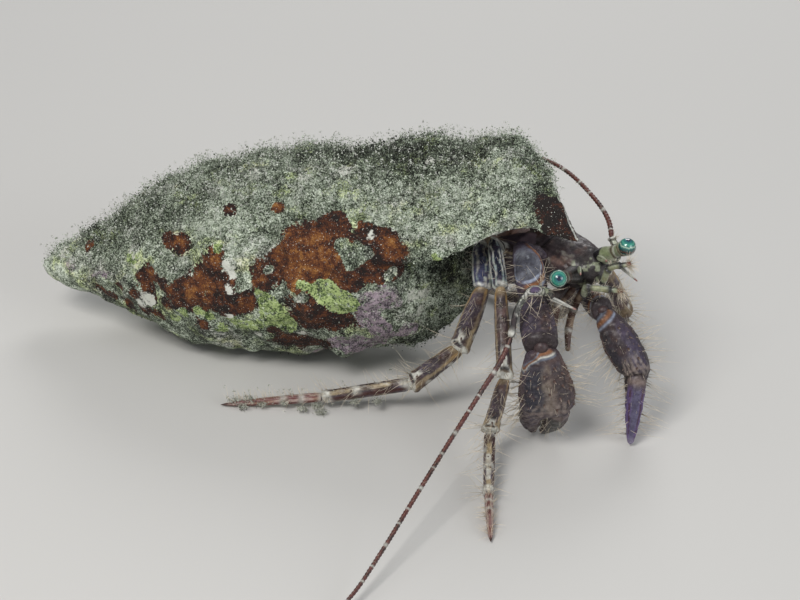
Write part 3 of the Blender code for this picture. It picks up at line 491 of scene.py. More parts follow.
class Surface:
    """A closed grid of points with a pole at each end, its place along and its turn from the upper side."""

    def __init__(self, rings, place, turn):
        self.rings, self.place, self.turn = rings, place, turn
        self.place_grid, self.turn_grid = np.meshgrid(place, turn, indexing="ij")
        if self.turn_grid.shape != rings.shape[:2]:
            raise ValueError("place and turn do not fit the rings")

    def grids(self):
        return self.place_grid, self.turn_grid, self.rings

    def normals(self):
        """The way out at each point, from the steps along and around the grid."""
        along = np.gradient(self.rings, axis=0)
        around = np.roll(self.rings, -1, axis=1) - np.roll(self.rings, 1, axis=1)
        return unit(np.cross(around, along) + 1e-9)

    def swell(self, height):
        self.rings = self.rings + height[..., None] * self.normals()

    def flat_points(self):
        poles = self.rings[[0, -1]].mean(axis=1)
        return np.vstack([self.rings.reshape(-1, 3), poles])

    def flat_marks(self, marks):
        return np.vstack([marks.reshape(-1, 3), marks[[0, -1]].mean(axis=1)])

    def faces(self):
        return grid_faces(*self.rings.shape[:2])

    def add(self, name, look, marks, slot, nodes=()):
        """Makes the surface a piece with these marks."""
        add_piece(name, self.flat_points(), self.faces(), look, self.flat_marks(marks), nodes, slot)

    def roots(self, places, turns):
        """Points and outward ways at given places and turns."""
        i = np.clip(np.searchsorted(self.place, places), 1, len(self.place) - 2)
        step = np.angle(np.exp(1j * (turns[:, None] - self.turn[None, :])))
        j = np.abs(step).argmin(axis=1)
        return self.rings[i, j], self.normals()[i, j]


def top_turns(way, thin, tall, top, turn):
    """The angle of each side of a limb from its upper side."""
    above = unit(top - np.dot(top, way) * way)
    beside = np.cross(way, above)
    lateral = np.outer(np.cos(turn), thin) + np.outer(np.sin(turn), tall)
    return np.arctan2(lateral @ beside, lateral @ above)


def squared(turn, square=2.3):
    """The two halves of an oval's outline; the oval is squarer than an ellipse where square is above 2."""
    return [np.sign(half) * np.abs(half) ** (2 / square) for half in (np.cos(turn), np.sin(turn))]


def rounded(reach):
    """How wide a round end is at a reach from its pole, both as shares."""
    return np.sqrt(1 - (1 - np.clip(reach, 0.0, 1.0)) ** 2)


def sweep(start, end, widths, flat, top, cuts=(None, None), rings=64, sides=44, ends=(0.45, 0.3), lap=0.0):
    """A limb's segment: an oval squarer than an ellipse, carried along a line with widths from a table.

    The widths shrink to nothing over the last stretch at each end, so that it closes round, and near each
    end the rings lean over to the plane that the joint there lies on.
    """
    start, end, top = (np.asarray(value, float) for value in (start, end, top))
    way = unit(end - start)
    start, end = start - lap * way, end + lap * way
    length = np.linalg.norm(end - start)
    thin, tall = across(way, flat)
    place = 0.5 - 0.5 * np.cos(np.linspace(0.06, math.pi - 0.06, rings))
    turn = turns_around(sides)
    table = smooth_steps(widths, place)
    closing = rounded(place * length / ends[0]) * rounded((1 - place) * length / ends[1])
    c, s = squared(turn)
    lateral = (
        (table[:, 0] * closing)[:, None, None] * c[None, :, None] * thin
        + (table[:, 1] * closing)[:, None, None] * s[None, :, None] * tall
    )
    if table.shape[1] > 2:
        lateral = lateral + table[:, 2][:, None, None] * tall
    points = start + (place * length)[:, None, None] * way + lateral
    for normal, share in zip(cuts, (1 - fade(place, 0, 0.4), fade(place, 0.6, 1.0))):
        if normal is not None:
            points = points - ((lateral @ normal) / (way @ normal) * share[:, None])[..., None] * way
    return Surface(points, place, top_turns(way, thin, tall, top, turn))


# The way that the first side of every feeler faces
TUBE_FLAT = np.array((0.31, 0.27, 0.91))


def tube(path, radii, top, sides, rings):
    """A feeler: a circle carried along a smooth curve, with radii from an even table and round ends."""
    line = curve_points(path, rings)
    place = np.linspace(0, 1, rings)
    half = smooth_steps(np.column_stack([np.linspace(0, 1, len(radii)), radii]), place)[:, 0]
    for reach in (place, 1 - place):
        half = half * rounded(np.maximum(reach * rings / 2.5, 0.12))
    ways = unit(np.gradient(line, axis=0))
    thin = unit(TUBE_FLAT - (ways @ TUBE_FLAT)[:, None] * ways)
    tall = np.cross(ways, thin)
    turn = turns_around(sides)
    lateral = np.cos(turn)[None, :, None] * thin[:, None] + np.sin(turn)[None, :, None] * tall[:, None]
    middle = rings // 2
    turns = top_turns(ways[middle], thin[middle], tall[middle], np.asarray(top, float), turn)
    return Surface(line[:, None] + half[:, None, None] * lateral, place, turns)


def ball(middle, axes, half, rings, sides, square=2.0):
    """An egg: an ellipse across, carried from pole to pole along its first axis."""
    angle = np.linspace(0.05, math.pi - 0.05, rings)
    turn = turns_around(sides)
    c, s = squared(turn, square)
    side = c[:, None] * half[1] * axes[1] + s[:, None] * half[2] * axes[2]
    points = middle - np.cos(angle)[:, None, None] * half[0] * axes[0] + np.sin(angle)[:, None, None] * side
    return Surface(points, (1 - np.cos(angle)) / 2, turn)


def scatter(roots, ways, lengths, radius, bend, seed, sides=3, rings=4):
    """Thin tapered hairs, joined: each a small polygon carried along a line that bends to one side.

    Gives points, faces and each point's place along its hair.
    """
    rng = np.random.default_rng(seed)
    count = len(roots)
    side = unit(np.cross(ways, rng.normal(size=(count, 3))))
    other = np.cross(ways, side)
    t = np.linspace(0, 1, rings)
    line = (
        roots[:, None]
        + (lengths[:, None] * t)[..., None] * ways[:, None]
        + (lengths[:, None] * bend * t**2)[..., None] * side[:, None]
    )
    turn = turns_around(sides)
    wide = radius[:, None] * (1 - 0.82 * t)
    ring = (
        line[:, :, None]
        + (wide[..., None] * np.cos(turn))[..., None] * side[:, None, None]
        + (wide[..., None] * np.sin(turn))[..., None] * other[:, None, None]
    )
    index = np.arange(rings * sides).reshape(rings, sides)
    near = np.hstack([index, index[:, :1]])
    quads = np.stack([near[:-1, :-1], near[:-1, 1:], near[1:, 1:], near[1:, :-1]], -1).reshape(-1, 4)
    ends = np.array([index[0, ::-1], index[-1]])
    base = (np.arange(count) * rings * sides)[:, None, None]
    faces = [(quads[None] + base).reshape(-1, 4), (ends[None] + base).reshape(-1, sides)]
    return ring.reshape(-1, 3), faces, np.tile(np.repeat(t, sides), count)


# Points of a thread with four rings of three; grains on a plume's head; a small step on the flat map
THREAD = 12
HEAD_GRAINS = 4
MAP_STEP = 0.0015
GRAIN = np.array([(1, 0, 0), (-1, 0, 0), (0, 1, 0), (0, -1, 0), (0, 0, 1), (0, 0, -1)], float)
GRAIN_FACES = np.array([
    (0, 2, 4), (2, 1, 4), (1, 3, 4), (3, 0, 4), (2, 0, 5), (1, 2, 5), (3, 1, 5), (0, 3, 5),
])


def grains(middles, sizes, seed):
    """Small eight-sided grains, joined, each turned and stretched at random."""
    rng = np.random.default_rng(seed)
    count = len(middles)
    first = unit(rng.normal(size=(count, 3)))
    second = unit(np.cross(first, rng.normal(size=(count, 3))))
    turns = np.stack([first, second, np.cross(first, second)], 1)
    stretch = sizes[:, None, None] * rng.uniform(0.6, 1.5, (count, 1, 3))
    points = middles[:, None] + (GRAIN * stretch) @ turns
    faces = (GRAIN_FACES[None] + (np.arange(count) * len(GRAIN))[:, None, None]).reshape(-1, 3)
    return points.reshape(-1, 3), [faces]


class Wire:
    """A socket of a material that takes part in sums: an operator adds its Math node."""

    def __init__(self, look, socket):
        self.look, self.socket = look, socket

    def math(self, operation, *values):
        return self.look.node("ShaderNodeMath", {"operation": operation}, dict(enumerate(values)))

    def __add__(self, other):
        return self.math("ADD", self, other)

    def __mul__(self, other):
        return self.math("MULTIPLY", self, other)

    def __sub__(self, other):
        return self.math("SUBTRACT", self, other)

    def __rsub__(self, other):
        return self.math("SUBTRACT", other, self)


class Look:
    """A material and the nodes that make it up."""

    def __init__(self, name, **fixed):
        self.material = bpy.data.materials.new(name)
        self.material.use_nodes = True
        self.tree = self.material.node_tree
        self.shader = self.tree.nodes["Principled BSDF"]
        for key, value in fixed.items():
            self.shader.inputs[key.replace("_", " ")].default_value = value
        self.place = self.node("ShaderNodeTexCoord", output="Object")

    def node(self, kind, settings=None, values=None, output=0):
        """Adds a node: its settings first, then the values or links of its sockets."""
        made = self.tree.nodes.new(kind)
        for key, value in (settings or {}).items():
            if key == "stops":
                self.set_stops(made.color_ramp, value)
            else:
                setattr(made, key, value)
        for key, value in (values or {}).items():
            self.put(made.inputs[key], value)
        return Wire(self, made.outputs[output])

    def set_stops(self, ramp, stops):
        ramp.elements[0].position, ramp.elements[1].position = stops[0][0], stops[-1][0]
        ramp.elements[0].color, ramp.elements[1].color = (*stops[0][1], 1.0), (*stops[-1][1], 1.0)
        for place, colour in stops[1:-1]:
            ramp.elements.new(place).color = (*colour, 1.0)

    def put(self, socket, value):
        if isinstance(value, Wire):
            self.tree.links.new(value.socket, socket)
        else:
            socket.default_value = value

    def stored(self, name, output="Color"):
        return self.node("ShaderNodeAttribute", {"attribute_name": name}, output=output)

    def grain(self, size, detail, rough=0.6):
        """Noise whose cells are about size millimetres wide."""
        values = {"Vector": self.place, "Scale": 1.0 / (size * MM), "Detail": detail, "Roughness": rough}
        return self.node("ShaderNodeTexNoise", None, values)

    def cells(self, size):
        """Distance to the nearest of scattered middles about size millimetres apart, as a share of that."""
        values = {"Vector": self.place, "Scale": 1.0 / (size * MM)}
        return self.node("ShaderNodeTexVoronoi", None, values, "Distance")

    def between(self, value, low, high):
        """Soft step of a value from 0 at low to 1 at high."""
        values = {"Value": value, "From Min": low, "From Max": high}
        return self.node("ShaderNodeMapRange", {"interpolation_type": "SMOOTHSTEP"}, values)

    def mix(self, low, high, share, kind="MIX"):
        """Colours between two, by a share."""
        low, high = (value if isinstance(value, Wire) else (*value, 1.0) for value in (low, high))
        values = {0: share, 6: low, 7: high}
        return self.node("ShaderNodeMix", {"data_type": "RGBA", "blend_type": kind}, values, 2)

    def bump(self, height, depth, distance):
        """Small relief from a height."""
        values = {"Height": height, "Strength": depth, "Distance": distance}
        self.put(self.shader.inputs["Normal"], self.node("ShaderNodeBump", None, values))

    def finish(self, colour, roughness=None):
        self.put(self.shader.inputs["Base Color"], colour)
        if roughness is not None:
            self.put(self.shader.inputs["Roughness"], roughness)
        return self.material


def look_of_crust(settings):
    """Shell: clumped silt over crust. Noise added to the stored fields makes the patches' ragged edges."""
    look = Look("crusted_shell", Roughness=0.9)
    ragged = (look.grain(1.1, 4.0, 0.6) - 0.5) * 1.7 + (look.grain(0.25, 3.0, 0.6) - 0.5) * 1.3
    worn = look.between(look.grain(0.5, 4.0, 0.65), 0.36, 0.5)
    fine, middle = look.grain(0.15, 3.0, 0.7), look.grain(0.6, 4.0, 0.7)
    # The stored tone, which holds painted light and painted shade, sets the silt's colour
    tone = look.stored("tone", "Fac") + (middle - 0.5) * 1.2 + (fine - 0.5) * 2.5
    base = look.node("ShaderNodeValToRGB", {"stops": SILT_TONES}, {"Fac": tone})
    base = look.mix(base, tuple(settings.silt_tint), 1.0, "MULTIPLY")
    for size, tint in ((2.4, (1.05, 1.08, 0.62)), (3.1, (1.02, 0.9, 1.06))):
        share = look.between(look.grain(size, 3.0), 0.5, 0.66)
        base = look.mix(base, look.mix(base, tint, 1.0, "MULTIPLY"), share * 0.75)
    bare = 1.0 - look.between(look.stored("silt", "Fac") + ragged * 0.6, 0.25, 0.75) * 0.9
    lumpy = middle + (fine - 0.5) * 0.6
    ember = look.stored("orange", "Fac") * 0.4 + (look.grain(0.8, 5.0, 0.65) - 0.5) * 2.4
    ember = ember + (fine - 0.5) * 1.6 + 0.27
    coats = (
        ("mauve", look.mix((0.07, 0.055, 0.07), (0.40, 0.32, 0.37), look.between(lumpy, 0.34, 0.62))),
        ("green", look.mix((0.05, 0.09, 0.018), (0.43, 0.54, 0.22), look.between(lumpy, 0.36, 0.6))),
        ("rust", look.node("ShaderNodeValToRGB", {"stops": RUST_TONES}, {"Fac": ember})),
    )
    for name, colour in coats:
        share = look.between(look.stored(name, "Fac") + ragged, 0.5, 0.6) * bare
        base = look.mix(base, colour, share if name == "rust" else share * worn)
    pale = look.between(look.stored("pale", "Fac") + ragged, 0.5, 0.75)
    base = look.mix(base, (0.70, 0.71, 0.64), pale * look.between(middle, 0.3, 0.5) * 0.95)
    base = look.mix(base, (0.74, 0.74, 0.66), look.between(look.grain(0.12, 2.0, 0.5), 0.67, 0.72) * 0.9)
    # Inner walls take the stored inside colour, darkened as painted shade
    base = look.mix(base, look.stored("inside"), look.stored("within", "Fac"))
    look.bump(fine * 0.6 + look.grain(0.45, 3.0, 0.7), 0.9, 0.00016)
    return look.finish(base)


def look_of_horn(name, rough, coat, grit=0.12):
    """Horn: painted marks under fine mottling, with a grain of small pits."""
    look = Look(name, Roughness=rough, Coat_Weight=coat, Coat_Roughness=0.25)
    marks = look.stored("marks")
    mottle = look.between(look.grain(0.35, 4.0, 0.7), 0.3, 0.7)
    colour = look.mix(marks, look.mix(marks, (0.45, 0.42, 0.40), 1.0, "MULTIPLY"), mottle * 0.75)
    speck = look.between(look.grain(0.12, 2.0, 0.5), 0.66, 0.72)
    colour = look.mix(colour, (0.34, 0.30, 0.27), speck * 0.35)
    look.bump(look.grain(grit, 3.0, 0.7) + mottle * 0.5, 0.55, 0.00007)
    return look.finish(colour, look.between(mottle, -1.2, 1.6) * (rough * 2.0))


def look_of_eye():
    """Eye: painted rings under a clear wet coat, with a fine net of facets."""
    look = Look("eye_gloss", Roughness=0.25, Coat_Weight=1.0, Coat_Roughness=0.03)
    net = look.cells(0.055)
    colour = look.mix(look.stored("marks"), (0.02, 0.05, 0.07), look.between(net, 0.35, 0.7) * 0.25)
    look.bump(net, 0.08, 0.00002)
    return look.finish(colour)


def look_of_skin(name, rough):
    """Soft skin: painted tint with fine wrinkles."""
    look = Look(name, Roughness=rough)
    fold = look.grain(0.3, 3.0, 0.6)
    colour = look.mix(look.stored("marks"), (0.10, 0.05, 0.05), look.between(fold, 0.5, 0.72) * 0.6)
    look.bump(fold, 0.6, 0.0001)
    return look.finish(colour)


def look_of_threads(name, rough):
    """Hairs and grains: the painted tint alone, slightly uneven."""
    look = Look(name, Roughness=rough)
    uneven = look.between(look.grain(0.4, 2.0, 0.5), 0.3, 0.7)
    marks = look.stored("marks")
    return look.finish(look.mix(marks, look.mix(marks, (0.6, 0.6, 0.58), 1.0, "MULTIPLY"), uneven))


# Materials by the name of what they are for
LOOKS = {}


def looks(settings):
    """Every material, made once."""
    if not LOOKS:
        LOOKS["crust"] = look_of_crust(settings)
        LOOKS["leg"] = look_of_horn("leg_horn", 0.42, 0.25, 0.2)
        LOOKS["claw"] = look_of_horn("claw_horn", 0.5, 0.15, 0.25)
        LOOKS["body"] = look_of_horn("striped_body", 0.42, 0.3)
        LOOKS["stalk"] = look_of_horn("stalk_horn", 0.35, 0.4, 0.1)
        LOOKS["feeler"] = look_of_horn("feeler_horn", 0.35, 0.4, 0.1)
        LOOKS["eye"] = look_of_eye()
        LOOKS["skin"] = look_of_skin("joint_skin", 0.45)
        LOOKS["soft"] = look_of_skin("soft_body", 0.55)
        LOOKS["hair"] = look_of_threads("pale_hair", 0.5)
        LOOKS["turf"] = look_of_threads("silt_turf", 0.9)
    return LOOKS


def patch_field(points, spots, seed, warp=0.4):
    """How far inside some round patches, melted together, a point lies: about half at their outline.

    The places are first pushed about by noise, so that no patch stays round.
    """
    moved = points + warp * np.stack([layers(points, 1.6, seed + k) for k in range(3)], -1)
    field = np.zeros(len(points))
    for spot in np.asarray(spots):
        distance = np.linalg.norm(moved - spot[:3], axis=1)
        field += np.clip(1 - (distance / (2 * spot[3])) ** 2, 0.0, 1.0) ** 2
    return np.minimum(field, 1.0)


def seen_spots(points, spots):
    """Patches seen by the camera: the nearest of the points that each pixel's line of sight meets."""
    stage = bpy.context.scene.hermit_stage
    distance, height = stage.distance / MM, stage.elevation
    sight = np.array((0.0, math.cos(height), -math.sin(height)))
    upward = np.array((0.0, math.sin(height), math.cos(height)))
    offset = points - (LOOK_AT - distance * sight)
    found = []
    for reach, column, row in ((reach, *pixel) for reach, pixels in spots.items() for pixel in pixels):
        beside = PIXEL * (column - PICTURE[0] / 2)
        above = PIXEL * (PICTURE[1] / 2 - row)
        way = unit(distance * sight + (beside, 0.0, 0.0) + above * upward)
        depth = offset @ way
        miss = np.linalg.norm(offset - depth[:, None] * way, axis=1)
        met = (depth + MISS_TOLL * np.maximum(miss - SIGHT_WIDTH, 0.0)).argmin()
        found.append((*points[met], reach))
    return np.array(found)


def patches(points, spots, hidden, seed, warp=0.4, wider=1.0):
    """The field of the patches seen and of hidden ones, given as a count, their sizes and a seed."""
    every = np.vstack([seen_spots(points, spots), hidden_spots(*hidden)])
    return patch_field(points, every * (1, 1, 1, wider), seed, warp)


def hidden_spots(count, sizes, seed):
    """Patches for the sides that face away, spread over the shell by chance."""
    rng = np.random.default_rng(seed)
    station = rng.uniform(6, 44, count)
    turn = rng.uniform(-2.6, -0.25, count)
    reach = np.interp(station, [0, 10, 20, 46], [1, 5.5, 8.5, 8.8])
    outward = np.cross(SHELL_WAY, SHELL_UPRIGHT)
    middle = SHELL_TIP + station[:, None] * SHELL_WAY + reach[:, None] * (
        np.cos(turn)[:, None] * SHELL_UPRIGHT + np.sin(turn)[:, None] * outward
    )
    return np.column_stack([middle, rng.uniform(*sizes, count)])


def even_copy(node, cell):
    """The points and faces of a node's shape, laid anew in even cells and eased to round off its facets."""
    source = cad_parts[node]
    copy = bpy.data.objects.new("even_copy", source.data.copy())
    bpy.context.scene.collection.objects.link(copy)
    weld = copy.modifiers.new("weld", "WELD")
    weld.merge_threshold = 1e-6
    even = copy.modifiers.new("even", "REMESH")
    even.mode = "VOXEL"
    even.voxel_size = cell * MM
    shown = copy.evaluated_get(bpy.context.evaluated_depsgraph_get()).to_mesh()
    points = np.empty(len(shown.vertices) * 3, np.float32)
    shown.vertices.foreach_get("co", points)
    points = points.reshape(-1, 3).astype(float) / MM
    corners = np.empty(len(shown.loops), np.int32)
    shown.loops.foreach_get("vertex_index", corners)
    sizes = np.empty(len(shown.polygons), np.int32)
    shown.polygons.foreach_get("loop_total", sizes)
    edges = np.empty(len(shown.edges) * 2, np.int32)
    shown.edges.foreach_get("vertices", edges)
    bpy.data.objects.remove(copy)
    if not (sizes == 4).all():
        raise RuntimeError("the even copy holds faces that are not quads")
    return ease(points, edges.reshape(-1, 2), 7), corners.reshape(-1, 4)


def ease(points, edges, times):
    """Moves each point to the middle of its neighbours, a few times over, and back out again a little."""
    count = np.bincount(edges.ravel(), minlength=len(points))[:, None]
    for share in [0.6, -0.62] * times:
        total = np.stack([
            np.bincount(edges[:, 0], points[edges[:, 1], k], len(points))
            + np.bincount(edges[:, 1], points[edges[:, 0], k], len(points))
            for k in range(3)
        ], -1)
        points = points + share * (total / count - points)
    return points


def point_normals(points, quads):
    """The way out at each point of a mesh of quads."""
    face = np.cross(points[quads[:, 2]] - points[quads[:, 0]], points[quads[:, 3]] - points[quads[:, 1]])
    total = [np.bincount(quads.ravel(), np.repeat(face[:, k], 4), len(points)) for k in range(3)]
    return unit(np.stack(total, -1))


class ShellSettings(bpy.types.PropertyGroup):
    """What a user would change on the shell."""

    cell: FloatProperty(name="Mesh cell", description="Width of the shell's mesh cells", default=0.206 * MM,
                        min=0.1 * MM, max=1.0 * MM, unit="LENGTH", precision=5)
    crust_depth: FloatProperty(name="Crust depth", description="How far the crust's lumps stand out",
                               default=0.2 * MM, min=0.0, max=1.0 * MM, unit="LENGTH", precision=5)
    silt_tint: FloatVectorProperty(name="Silt tint", description="Tint laid over the shell's silt",
                                   default=(1.0, 1.0, 1.0), subtype="COLOR", min=0.0, max=1.0)
    turf_length: FloatProperty(name="Turf length", description="Longest thread of the turf on the shell",
                               default=0.9 * MM, min=0.0, max=3.0 * MM, unit="LENGTH", precision=5)
    turf_count: IntProperty(name="Turf threads", description="Threads on the shell",
                            default=8000, min=100, max=16000)
    grain_count: IntProperty(name="Silt grains", description="Grains on the shell, in each of three pieces",
                             default=19000, min=100, max=24000)
    plume_count: IntProperty(name="Plumes", description="Thin stalks with a white head on the shell's top",
                             default=1200, min=10, max=3000)


class AnimalSettings(bpy.types.PropertyGroup):
    """What a user would change on the animal."""

    eye_colour: FloatVectorProperty(name="Eye colour", description="Main colour of the eyes",
                                    default=(0.010, 0.165, 0.15), subtype="COLOR", min=0.0, max=1.0)
    hair_length: FloatProperty(name="Hair length", description="Longest of the stiff hairs on limbs",
                               default=2.9 * MM, min=0.0, max=5.0 * MM, unit="LENGTH", precision=5)
    hair_colour: FloatVectorProperty(name="Hair colour", description="Colour of the stiff hairs",
                                     default=(0.72, 0.63, 0.50), subtype="COLOR", min=0.0, max=1.0)


class CRAB_OT_shell(bpy.types.Operator):
    """Lays crust, patches, turf and silt over the shell"""

    bl_idname = "hermit_crab.shell"
    bl_label = "Crusted shell"

    def execute(self, context):
        settings = context.scene.hermit_shell
        look = looks(settings)
        points, quads = even_copy("shell", settings.cell / MM)
        normals = point_normals(points, quads)
        axis = points - SHELL_TIP
        station = axis @ SHELL_WAY
        radial = unit(axis - station[:, None] * SHELL_WAY)
        within = 1 - fade((radial * normals).sum(1), -0.35, 0.05)
        within = within * fade(station, 38, 41)
        depth = settings.crust_depth / MM
        lumps = 0.9 * layers(points, 3.2, 1) + 0.7 * pebbles(points, 1.3, 5) + 0.4 * layers(points, 0.8, 9, 2)
        tops = 0.6 * pebbles(points, 0.9, 13, 0.7) + 0.4 * pebbles(points, 0.55, 15, 0.7)
        low = fade(points[:, 2], 0.1, 1.2) * (1 - 0.85 * within)
        fields = {
            "rust": patches(points, RUST, (26, (0.6, 1.6), 4), 21),
            "orange": patches(points, ORANGE, (10, (0.5, 1.3), 5), 31),
            "green": patches(points, GREEN, (12, (0.5, 1.1), 6), 41, wider=1.25),
            "bald": patch_field(points, seen_spots(points, HOLES), 45),
            "mauve": patches(points, MAUVE, (12, (0.6, 1.4), 8), 51, wider=1.35),
            "pale": patches(points, PALE, (14, (0.4, 0.9), 3), 61),
        }
        fields["rust"] = fields["rust"] * (1 - fade(fields.pop("bald"), 0.35, 0.6))
        fields["rust"] = fields["rust"] * (1 - 0.8 * fade(fields["green"], 0.5, 0.7))
        fields["orange"] = fields["orange"] - 0.6 * fade(station, 38, 40) - 0.35 * layers(points, 2.0, 75)
        # Spots that raise the tone (paler silt with painted light) and spots of painted shade that lower it
        light = patches(points, LIGHT, (7, (1.4, 2.6), 2), 65, 0.9)
        dark = patches(points, PAINTED_SHADE, (7, (1.2, 2.4), 7), 67, 0.9)
        # The silt's tone: paler on the lumps' tops and darker between them, partly paler clumps of silt and
        # partly painted shade in the gaps
        tone = 0.41 + 0.5 * (tops - 0.35) + 0.3 * layers(points, 2.4, 73) + 0.2 * light - 0.28 * dark
        # A pale line along the lip's edge: pale crust there, brightened further as a painted highlight, and
        # kept free of silt
        rim = hump((radial * normals).sum(1), 0.05, 0.3) * fade(station, 36, 38) * (radial[:, 1] < 0.2)
        fields["tone"] = tone + 0.3 * rim + 0.12 * fade(-station, -7, -2)
        fields["pale"] = np.maximum(fields["pale"], 0.85 * rim)
        bare = np.maximum(fields["rust"], fields["green"])
        silt = fade(normals[:, 2] + 0.45 * layers(points, 3.0, 71), -0.35, 0.6)
        mouth_side = 0.6 * fade(station, 31, 35) * (radial[:, 1] < 0)
        silt = np.maximum(silt, mouth_side * (1 - fade(fields["mauve"], 0.2, 0.6)))
        silt = silt * (1 - 0.94 * fade(bare, 0.35, 0.6))
        fields["silt"] = silt * (1 - within) * (1 - rim)
        grit = 0.9 * tops * (0.3 + fields["silt"]) - 1.4 * fade(silt, 0.3, 0.8)
        points = points + (depth * low * (lumps + grit - 0.4 * fields["rust"]))[:, None] * normals
        points = points - (0.14 * fields["silt"] * low)[:, None] * normals
        lift(points)
        made = add_piece("crusted_shell", points, [quads], look["crust"], None, ["shell"], "crusted_shell")
        fields["within"] = np.where(rim > 0.3, 0.5 * within, within)
        for name, field in fields.items():
            layer = made.data.attributes.new(name, "FLOAT", "POINT")
            layer.data.foreach_set("value", field.astype(np.float32))
        # The inner wall's colour, darkened as painted shade inside the mouth
        shaded_nacre = blend(SHADED_NACRE_DARK, SHADED_NACRE_LIGHT, clouds(points, 2.0, 81, -0.4, 0.5))
        paint(made.data, shaded_nacre, "inside")
        self.add_turf(points, point_normals(points, quads), fields, tops, settings, look["turf"])
        return {"FINISHED"}

    def add_turf(self, points, normals, fields, tops, settings, look):
        """Threads and grains whose roots lie thickest where silt gathers, and plumes along the top."""
        rng = np.random.default_rng(12)
        silt, tone = fields["silt"], fields["tone"]
        clumps = fade(tops + 0.3 * layers(points, 1.5, 91), 0.0, 0.75)
        thick = (silt * (0.25 + 0.75 * clumps)) ** 1.2 + 0.015
        thick = np.where((points[:, 2] > 1.0) & (silt > 0.1), thick, 0.0)
        unwrap = self.unwrap(points)
        piece = dict(look=look, slot="crusted_shell")
        roots = rng.choice(len(points), settings.turf_count, p=thick / thick.sum())
        out = normals[roots]
        at = points[roots] + rng.normal(0, 0.08, (len(roots), 3))
        ways = unit(out + 0.45 * np.array((0, 0, 1)) + rng.normal(0, 0.42, at.shape))
        lengths = settings.turf_length / MM * rng.beta(1.6, 3.0, len(at))
        lengths = lengths * (0.35 + 0.65 * clumps[roots]) + 0.1
        thin = rng.uniform(0.016, 0.035, len(at))
        made, faces, place = scatter(at - 0.08 * out, ways, lengths, thin, bend=0.35, seed=3)
        # Threads are painted brighter than the crust's tone and brighten from root to tip: painted shade at
        # their roots, painted light towards their tips
        marks = np.repeat(self.tones(rng, tone[roots] + 0.12, 0.2), THREAD, axis=0)
        marks = marks * (0.7 + 0.7 * place[:, None])
        step = MAP_STEP * np.column_stack([np.cos(place * 5), place])
        spread = np.repeat(unwrap[roots], THREAD, axis=0) + step
        add_piece("shell_turf", made, faces, marks=marks, unwrap=spread, **piece)
        for part in range(3):
            weight = thick + 0.010 * (1 - fade(fields["rust"], 0.3, 0.7)) + 0.002
            roots = rng.choice(len(points), settings.grain_count, p=weight / weight.sum())
            height = rng.exponential(0.17, len(roots)) * (0.15 + silt[roots] * (0.3 + 1.0 * clumps[roots]))
            at = points[roots] + normals[roots] * np.minimum(height, 0.9)[:, None]
            at = at + rng.normal(0, 0.07, at.shape)
            lift(at, 0.3)
            size = 0.035 + 0.1 * rng.beta(1.1, 4.0, len(at)) * (0.6 + 0.4 * silt[roots])
            made, faces = grains(at, size, part + 5)
            # Grains are painted brighter than the crust's tone, and more so the higher they stand: painted
            # light on raised grains
            tints = self.tones(rng, tone[roots] + 0.03 + 0.3 * np.minimum(height, 0.4), 0.27)
            marks = np.repeat(tints, len(GRAIN), axis=0)
            step = MAP_STEP * np.tile(GRAIN[:, :2], (len(at), 1))
            spread = np.repeat(unwrap[roots], len(GRAIN), axis=0) + step
            add_piece(f"shell_silt_{part + 1}", made, faces, marks=marks, unwrap=spread, **piece)
        self.add_plumes(points, normals, thick * fade(normals[:, 2], 0.2, 0.7), settings, rng, unwrap, piece)

    def add_plumes(self, points, normals, weight, settings, rng, unwrap, piece):
        """Thin stalks that stand on the shell's top, each with a few white grains about its head."""
        roots = rng.choice(len(points), settings.plume_count, p=weight / weight.sum())
        ways = unit(normals[roots] + 0.5 * np.array((0, 0, 1)) + rng.normal(0, 0.25, (len(roots), 3)))
        lengths = rng.uniform(0.6, 1.5, len(roots))
        thin = np.full(len(roots), 0.017)
        stalks, faces, place = scatter(points[roots], ways, lengths, thin, bend=0.15, seed=9)
        heads = np.repeat(points[roots] + lengths[:, None] * ways, HEAD_GRAINS, axis=0)
        heads = heads + rng.normal(0, 0.07, heads.shape)
        beads, more = grains(heads, rng.uniform(0.03, 0.075, len(heads)), seed=10)
        tint = np.array((0.70, 0.72, 0.66))
        marks = np.vstack([blend(0.5 * tint, tint, place), np.tile(tint, (len(beads), 1))])
        parts = [np.repeat(unwrap[roots], count, axis=0) for count in (THREAD, HEAD_GRAINS * len(GRAIN))]
        spread = np.vstack(parts)
        spread[:, 0] += MAP_STEP * np.cos(np.arange(len(spread)))
        spread[:, 1] += MAP_STEP * np.sin(np.arange(len(spread)))
        faces = faces + [part + len(stalks) for part in more]
        add_piece("shell_plumes", np.vstack([stalks, beads]), faces, marks=marks, unwrap=spread, **piece)

    def tones(self, rng, tone, spread):
        """Silt tints on the scale of tones, each pushed a little by chance."""
        tone = tone + rng.normal(0, spread, len(tone))
        places, colours = zip(*SILT_TONES)
        return np.stack([np.interp(tone, places, [colour[k] for colour in colours]) for k in range(3)], -1)

    def unwrap(self, points):
        """Place on a flat map of the shell: its turn across and its station up."""
        axis = points - SHELL_TIP
        station = axis @ SHELL_WAY
        outward = np.cross(SHELL_WAY, SHELL_UPRIGHT)
        turn = np.arctan2(axis @ outward, axis @ SHELL_UPRIGHT)
        return np.column_stack([0.5 + turn / 6.4, 0.03 + station / 62.0])


# What the limbs' operators note for the hairs' operator to plant
HAIRS = []
SPINES = []

